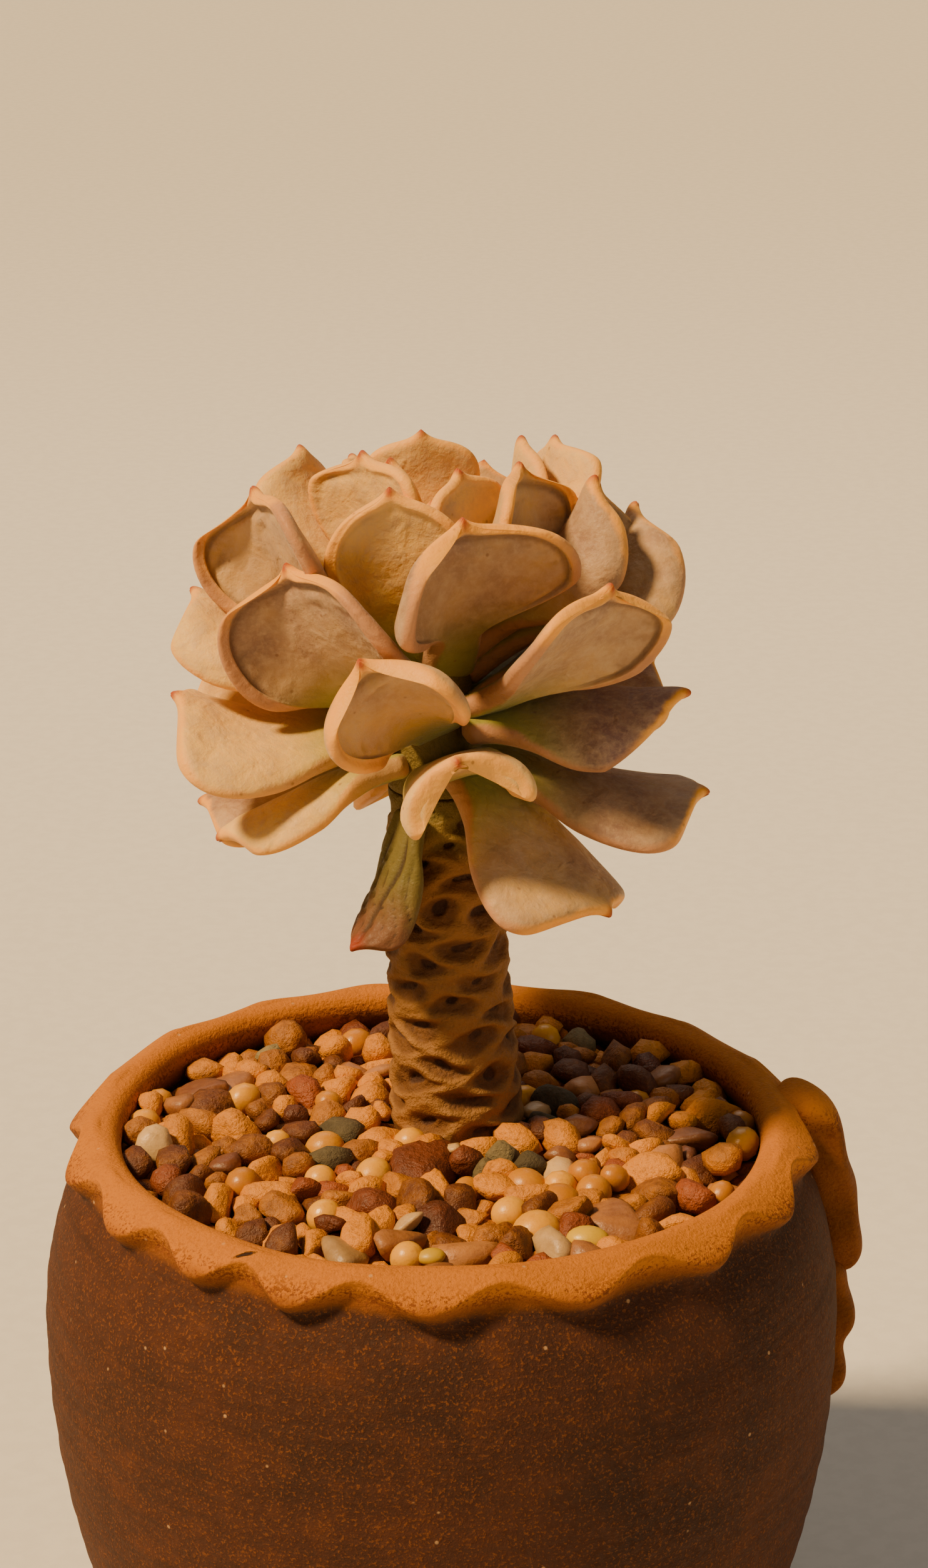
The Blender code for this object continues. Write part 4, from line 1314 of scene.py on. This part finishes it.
    def drill(self, pot: bpy.types.Object) -> None:
        """Cuts the three drainage holes through the floor, as a plain tube cuts wet clay.

        Args:
            pot: The pot's piece.
        """
        around = outward(steps_round(40, 360.0) + 90.0) * self.drain_radius
        for azimuth in self.drains:
            grid = outward(azimuth) * self.drain_circle + around * np.ones((2, 1, 1))
            grid[..., 2] = np.array(self.drill_ends)[:, None]
            tube = closed_skin(grid)
            faces = [*tube.quads.tolist(), *tube.triangles.tolist()]
            mesh = bpy.data.meshes.new("drain_tube")
            mesh.from_pydata((tube.points * MM).tolist(), [], faces)
            cutter = linked("drain_tube", mesh)
            cut = pot.modifiers.new("Drain", "BOOLEAN")
            cut.operation, cut.solver, cut.object = "DIFFERENCE", "EXACT", cutter
            bpy.context.view_layer.update()
            drilled = pot.evaluated_get(bpy.context.evaluated_depsgraph_get())
            mesh = bpy.data.meshes.new_from_object(drilled)
            pot.modifiers.clear()
            pot.data = mesh
            bpy.data.objects.remove(cutter, do_unlink=True)


# ---------------------------------------------------------------- topdressing


# The stones that are seen at their own places on top of the bed: x, y and radius of each
PLACED_STONES = {
    StoneKind.BEAD: (
        (-14.3, -11.5, 1.9), (-13.5, -21.1, 2.0), (-8.0, -10.0, 2.2), (8.2, -20.3, 2.1),
        (11.3, -25.2, 2.9), (10.2, -13.2, 2.6), (3.2, -14.2, 1.7), (14.0, -17.6, 2.5),
        (18.2, -14.6, 2.2), (-14.1, -2.6, 2.4)),
    StoneKind.GRANULE: (
        (-6.6, 0.2, 3.2), (33.4, 7.0, 3.4), (-21.3, -8.9, 3.0), (-25.0, 2.7, 3.2), (25.1, -9.8, 3.0)),
    StoneKind.YELLOW: ((17.1, -28.2, 2.1), (-0.9, -33.4, 1.3)),
    StoneKind.CHUNK: ((-2.0, -8.6, 4.4), (-0.2, -22.4, 3.1)),
    StoneKind.PINK: (
        (3.4, -31.2, 3.2), (-4.6, -28.2, 3.0), (20.1, -22.3, 3.2), (-30.9, 13.3, 3.2),
        (-26.4, 16.2, 2.8), (31.0, 0.8, 3.2)),
    StoneKind.WHITE: ((-11.1, -30.8, 2.6),),
    StoneKind.GREY: (
        (7.6, -5.4, 2.3), (10.2, -8.2, 2.0), (14.1, 8.6, 2.6), (13.2, 4.4, 2.1), (5.4, -9.2, 1.6)),
}


@dataclass
class Topdressing:
    """The loose stones on the soil: a few at their own places, and the rest poured in round them.

    The pouring treats each stone as a ball. Every step lowers all of them a little, and then
    pushes apart each pair that overlaps and each ball that is in the wall, the soil or the stem.

    floor, level: heights of the soil and of the bed's top
    fill, steps: how many stones are poured in, and in how many steps
    sizes, bead_sizes: the least and greatest radius of a stone, and of a fertiliser bead
    small: the share of the stones that are smaller, and how much smaller they are
    spread: radius within which they start
    sink, ease: how far a step lowers them, and the share of an overlap that it takes away
    overlap: how near two stones may come, as a share of the sum of their radii
    near_wall, near_stem, near_soil, near_top: how near a stone's middle may come to each of them,
        as a share of its radius
    wall, wall_lean: the wall's radius at the upper of wall_heights, and how much it widens for
        each mm below, down to the lower one
    fine_from: the y before which, and the height over which, a stone is made finer
    """

    line: StemLine
    floor: float = 66.2
    level: float = 72.6
    fill: int = 760
    steps: int = 150
    sizes: tuple[float, float] = (1.3, 2.7)
    bead_sizes: tuple[float, float] = (1.6, 2.2)
    small: tuple[float, float] = (0.25, 0.72)
    spread: float = 37.0
    sink: float = 0.12
    ease: float = 0.75
    overlap: float = 0.93
    near_wall: float = 0.97
    near_stem: float = 0.9
    near_soil: float = 0.8
    near_top: float = 0.55
    wall: float = 38.7
    wall_lean: float = 0.33
    wall_heights: tuple[float, float] = (64.0, 72.0)
    fine_from: tuple[float, float] = (-14.0, 69.4)
    seed: int = 11

    def pour(self) -> tuple[np.ndarray, np.ndarray, np.ndarray, np.ndarray]:
        """Pours the stones.

        Returns:
            The stones' centres, their radii, each one's kind as its place in StoneKind, and
            whether it was held at its own place.
        """
        rng = np.random.default_rng(self.seed)
        kinds = list(StoneKind)
        kind = rng.choice(len(kinds), self.fill, p=[STONE_FINISHES[one].share for one in kinds])
        radius = rng.uniform(*self.sizes, self.fill)
        radius = radius * np.where(rng.random(self.fill) < self.small[0], self.small[1], 1.0)
        beads = rng.uniform(*self.bead_sizes, self.fill)
        radius = np.where(kind == kinds.index(StoneKind.BEAD), beads, radius)
        out = self.spread * np.sqrt(rng.random(self.fill))
        centre = outward(rng.uniform(0.0, 360.0, self.fill)) * out[:, None]
        centre[:, 2] = rng.uniform(self.floor + 1.0, self.floor + 7.0, self.fill)
        x, y, size, own = np.array([
            (*stone, kinds.index(one)) for one, stones in PLACED_STONES.items() for stone in stones]).T
        # The bright yellow beads lie on top of the others
        raised = np.where(own == kinds.index(StoneKind.YELLOW), 1.1, 0.0)
        height = self.level - 1.0 - 0.35 * size + raised
        centre = np.concatenate([np.stack([x, y, height], -1), centre])
        radius = np.concatenate([size, radius])
        kind = np.concatenate([own.astype(int), kind])
        held = np.arange(len(radius)) < len(own)
        moved = np.where(held[None, :], 1.0, 0.5) * np.where(held, 0.0, 1.0)[:, None]
        touch = self.overlap * (radius[:, None] + radius[None, :])
        for _ in range(self.steps):
            centre[:, 2] -= np.where(held, 0.0, self.sink)
            apart = centre[:, None, :] - centre[None, :, :]
            gap = np.sqrt((apart**2).sum(-1)) + 1e-6
            push = np.clip(touch - gap, 0.0, None) / gap * moved
            np.fill_diagonal(push, 0.0)
            centre += self.ease * np.einsum("ij,ijk->ik", push, apart)
            under = self.wall_heights[1] - np.clip(centre[:, 2], *self.wall_heights)
            wall = self.wall + under * self.wall_lean - radius * self.near_wall
            from_middle = np.hypot(centre[:, 0], centre[:, 1]) + 1e-6
            centre[:, :2] *= np.where(held, 1.0, np.minimum(1.0, wall / from_middle))[:, None]
            axis = self.line.axis(centre[:, 2])
            aside = centre[:, :2] - axis[:, :2]
            clear = np.hypot(aside[:, 0], aside[:, 1]) + 1e-6
            need = self.line.radius(centre[:, 2]) + radius * self.near_stem
            centre[:, :2] = axis[:, :2] + aside * np.maximum(1.0, need / clear)[:, None]
            lowest, highest = self.floor + radius * self.near_soil, self.level - self.near_top * radius
            centre[:, 2] = np.clip(centre[:, 2], lowest, highest)
        return centre, radius, kind, held

    def shapes(self, centre: np.ndarray, radius: np.ndarray, kind: int, detail: int) -> Surface:
        """Works out stones of one kind.

        A broken stone is what ten random planes enclose, its corners worn round: along each
        direction the radius is the sum of (slant / height) to the power p over the planes, all to
        the power -1 / p. A slant is the cosine between the direction and the plane's own. A bead
        is nearly a ball.

        Args:
            centre: The stones' centres.
            radius: Their radii.
            kind: The kind's place in StoneKind.
            detail: 2 for a stone of 80 faces and 3 for one of 320.

        Returns:
            Their skins as one, carrying each stone's tone.
        """
        rng = np.random.default_rng(50 + 10 * kind + detail)
        directions, faces = ball(detail)
        count = len(radius)
        which = list(StoneKind)[kind]
        round_one = which in (StoneKind.BEAD, StoneKind.YELLOW)
        planes = rng.normal(size=(count, 10, 3))
        planes /= np.linalg.norm(planes, axis=-1, keepdims=True)
        heights = rng.uniform(0.66, 1.02, (count, 1, 10))
        power = {StoneKind.PINK: 8.0, StoneKind.WHITE: 6.0}.get(which, 18.0)
        facing = np.clip(np.einsum("vk,npk->nvp", directions, planes), 0.02, None)
        reach = np.clip(((facing / heights) ** power).sum(-1) ** (-1.0 / power), 0.6, 1.25)
        if round_one:
            reach = 1.0 + 0.03 * reach
        stretch = rng.uniform((1.0, 0.85, 0.7), (1.35, 1.05, 0.95), (count, 3))
        if which in (StoneKind.PINK, StoneKind.WHITE):
            stretch = stretch * (1.1, 1.0, 0.78)
        if round_one:
            stretch = rng.uniform((0.98, 0.94, 0.9), (1.12, 1.02, 1.0), (count, 3))
        if which is StoneKind.YELLOW:
            stretch = stretch * (1.15, 0.95, 0.75)
        points = directions[None] * reach[..., None] * stretch[:, None, :]
        tilt = rng.normal(0.0, 0.35, (count, 2))
        turns = np.column_stack([tilt, rng.uniform(0.0, ONCE_ROUND, count)])
        if which is StoneKind.YELLOW:
            turns = turns * (0.3, 0.3, 0.0)
        points = np.einsum("nij,nvj->nvi", turned_by(turns), points)
        points = points * radius[:, None, None] + centre[:, None, :]
        faces = faces[None] + np.arange(count)[:, None, None] * len(directions)
        tone = np.repeat(rng.random(count), len(directions))
        none = np.zeros((0, 4), int)
        return Surface(points.reshape(-1, 3), none, faces.reshape(-1, 3), {"tone": tone})

    def build(self) -> None:
        """Builds one piece for each kind of stone, those at the front finer than the rest."""
        centre, radius, kind, held = self.pour()
        near = held | ((centre[:, 1] < self.fine_from[0]) & (centre[:, 2] > self.fine_from[1]))
        for number, which in enumerate(StoneKind):
            groups = [
                self.shapes(centre[mask], radius[mask], number, detail)
                for mask, detail in (((kind == number) & near, 3), ((kind == number) & ~near, 2))
                if mask.any()
            ]
            finish = STONE_FINISHES[which].material(which.value + "_skin")
            make_piece(which.value, joined(groups), finish, "gravel_topdressing")
        LOG.info("topdressing: %d stones", len(radius))


def turned_by(angles: np.ndarray) -> np.ndarray:
    """Rotation matrices: a turn about Z, then one about Y, then one about X.

    Args:
        angles: The turns about X, Y and Z for each matrix, in radians.

    Returns:
        The matrices.
    """
    turned = np.eye(3)
    for axis in (2, 1, 0):
        i, j = (axis + 1) % 3, (axis + 2) % 3
        turn = np.zeros((len(angles), 3, 3))
        turn[:, axis, axis] = 1.0
        turn[:, i, i] = turn[:, j, j] = np.cos(angles[:, axis])
        turn[:, j, i] = np.sin(angles[:, axis])
        turn[:, i, j] = -turn[:, j, i]
        turned = turn @ turned
    return turned


def ball(detail: int) -> tuple[np.ndarray, np.ndarray]:
    """Directions spread over a ball: an icosahedron whose edges are halved detail - 1 times.

    Args:
        detail: 2 for 80 faces, 3 for 320.

    Returns:
        The directions, and the triangles between them.
    """
    g = (1.0 + math.sqrt(5.0)) / 2.0
    points = np.array([
        [-1, g, 0], [1, g, 0], [-1, -g, 0], [1, -g, 0], [0, -1, g], [0, 1, g], [0, -1, -g], [0, 1, -g],
        [g, 0, -1], [g, 0, 1], [-g, 0, -1], [-g, 0, 1]])
    faces = np.array([
        [0, 11, 5], [0, 5, 1], [0, 1, 7], [0, 7, 10], [0, 10, 11], [1, 5, 9], [5, 11, 4], [11, 10, 2],
        [10, 7, 6], [7, 1, 8], [3, 9, 4], [3, 4, 2], [3, 2, 6], [3, 6, 8], [3, 8, 9], [4, 9, 5],
        [2, 4, 11], [6, 2, 10], [8, 6, 7], [9, 8, 1]])
    points /= np.linalg.norm(points, axis=1, keepdims=True)
    for _ in range(detail - 1):
        edges = np.sort(np.concatenate([faces[:, [0, 1]], faces[:, [1, 2]], faces[:, [2, 0]]]), axis=1)
        unique, inverse = np.unique(edges, axis=0, return_inverse=True)
        middle = points[unique].mean(1)
        middle /= np.linalg.norm(middle, axis=1, keepdims=True)
        a, b, c = (inverse.reshape(3, -1) + len(points))
        faces = np.concatenate([
            np.stack([faces[:, 0], a, c], 1), np.stack([faces[:, 1], b, a], 1),
            np.stack([faces[:, 2], c, b], 1), np.stack([a, b, c], 1)])
        points = np.concatenate([points, middle])
    return points, faces


# ---------------------------------------------------------------- studio


@dataclass
class Studio:
    """The pale floor, the soft lights and the camera where the photographer stood.

    pitch: how far the camera looks down, in degrees
    focal_pixels: its focal length, as pixels of the photograph
    sensor: the longer side of its sensor
    floor_half: half the floor's side
    looked_at: height that the lights look at
    sun_width: the sun's width in the sky, in degrees, which softens its shadows
    air, air_strength: the light that comes from all round
    """

    camera_at: tuple[float, float, float] = (2.822, -410.644, 262.462)
    pitch: float = 19.5
    focal_pixels: float = 5900.0
    sensor: float = 36.0
    floor_half: float = 3000.0
    looked_at: float = 95.0
    sun_width: float = 9.0
    air: str = "#e9e6e1"
    air_strength: float = 0.13

    def build(self) -> None:
        """Lays the floor, hangs the lights and sets the camera."""
        half = self.floor_half * MM
        mesh = bpy.data.meshes.new("studio_floor")
        corners = [(-half, -half, 0.0), (half, -half, 0.0), (half, half, 0.0), (-half, half, 0.0)]
        mesh.from_pydata(corners, [], [(0, 1, 2, 3)])
        mesh.materials.append(StudioPaper().material())
        linked("studio_floor", mesh)
        self.light("key_light", (-464.0, -200.0, 715.0), 6.4, "#ffd79c")
        self.light("fill_softbox", (520.0, -420.0, 330.0), 0.6, "#fff0dc", 520.0)
        self.light("rear_softbox", (-60.0, 520.0, 620.0), 1.1, "#ffecd2", 420.0)
        world = bpy.data.worlds.new("studio_air")
        world.use_nodes = True
        air = world.node_tree.nodes["Background"]
        air.inputs["Color"].default_value = linear(self.air)
        air.inputs["Strength"].default_value = self.air_strength
        bpy.context.scene.world = world
        lens = bpy.data.cameras.new("camera")
        lens.sensor_width = self.sensor
        lens.lens = self.sensor * self.focal_pixels / max(IMAGE_SIZE)
        lens.clip_start = 0.01
        camera = linked("camera", lens)
        camera.location = [v * MM for v in self.camera_at]
        camera.rotation_euler = (math.radians(90.0 - self.pitch), 0.0, 0.0)
        bpy.context.scene.camera = camera
        LOG.info("studio: floor, three lights, camera of %.1f mm", lens.lens)

    def light(self, name: str, at: tuple[float, float, float], power: float, colour: str,
              side: float = 0.0) -> None:
        """Hangs a light that looks at the middle of the plant.

        Args:
            name: Its name.
            at: Its place, in millimetres.
            power: Its power, in watts, and for a sun in watts a square metre.
            colour: Its colour.
            side: A square softbox's side, in millimetres. Without it the light is a sun, which
                falls evenly on the whole floor.
        """
        light = bpy.data.lights.new(name, "AREA" if side else "SUN")
        if side:
            light.shape, light.size = "SQUARE", side * MM
        else:
            light.angle = math.radians(self.sun_width)
        light.energy, light.color = power, linear(colour)[:3]
        lamp = linked(name, light)
        lamp.location = [v * MM for v in at]
        tilt = math.atan2(math.hypot(at[0], at[1]), at[2] - self.looked_at)
        lamp.rotation_euler = (tilt, 0.0, math.atan2(at[1], at[0]) + math.pi / 2.0)


# ---------------------------------------------------------------- main


def dress_soil(soil: bpy.types.Object) -> None:
    """Gives the frame's own plug of soil its finish.

    Args:
        soil: The plug.
    """
    soil.data.materials.clear()
    soil.data.materials.append(Soil().material())
    LOG.info("potting_soil: kept from the frame")


def main() -> None:
    logging.basicConfig(level=logging.INFO, format="%(name)s: %(message)s")
    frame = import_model()
    line = StemLine()
    PinchedPot().build()
    dress_soil(frame["nodes"]["potting_soil"])
    Topdressing(line).build()
    ScarredStem(line).build()
    Rosette(line).build()
    Studio().build()


if __name__ == "__main__":
    main()
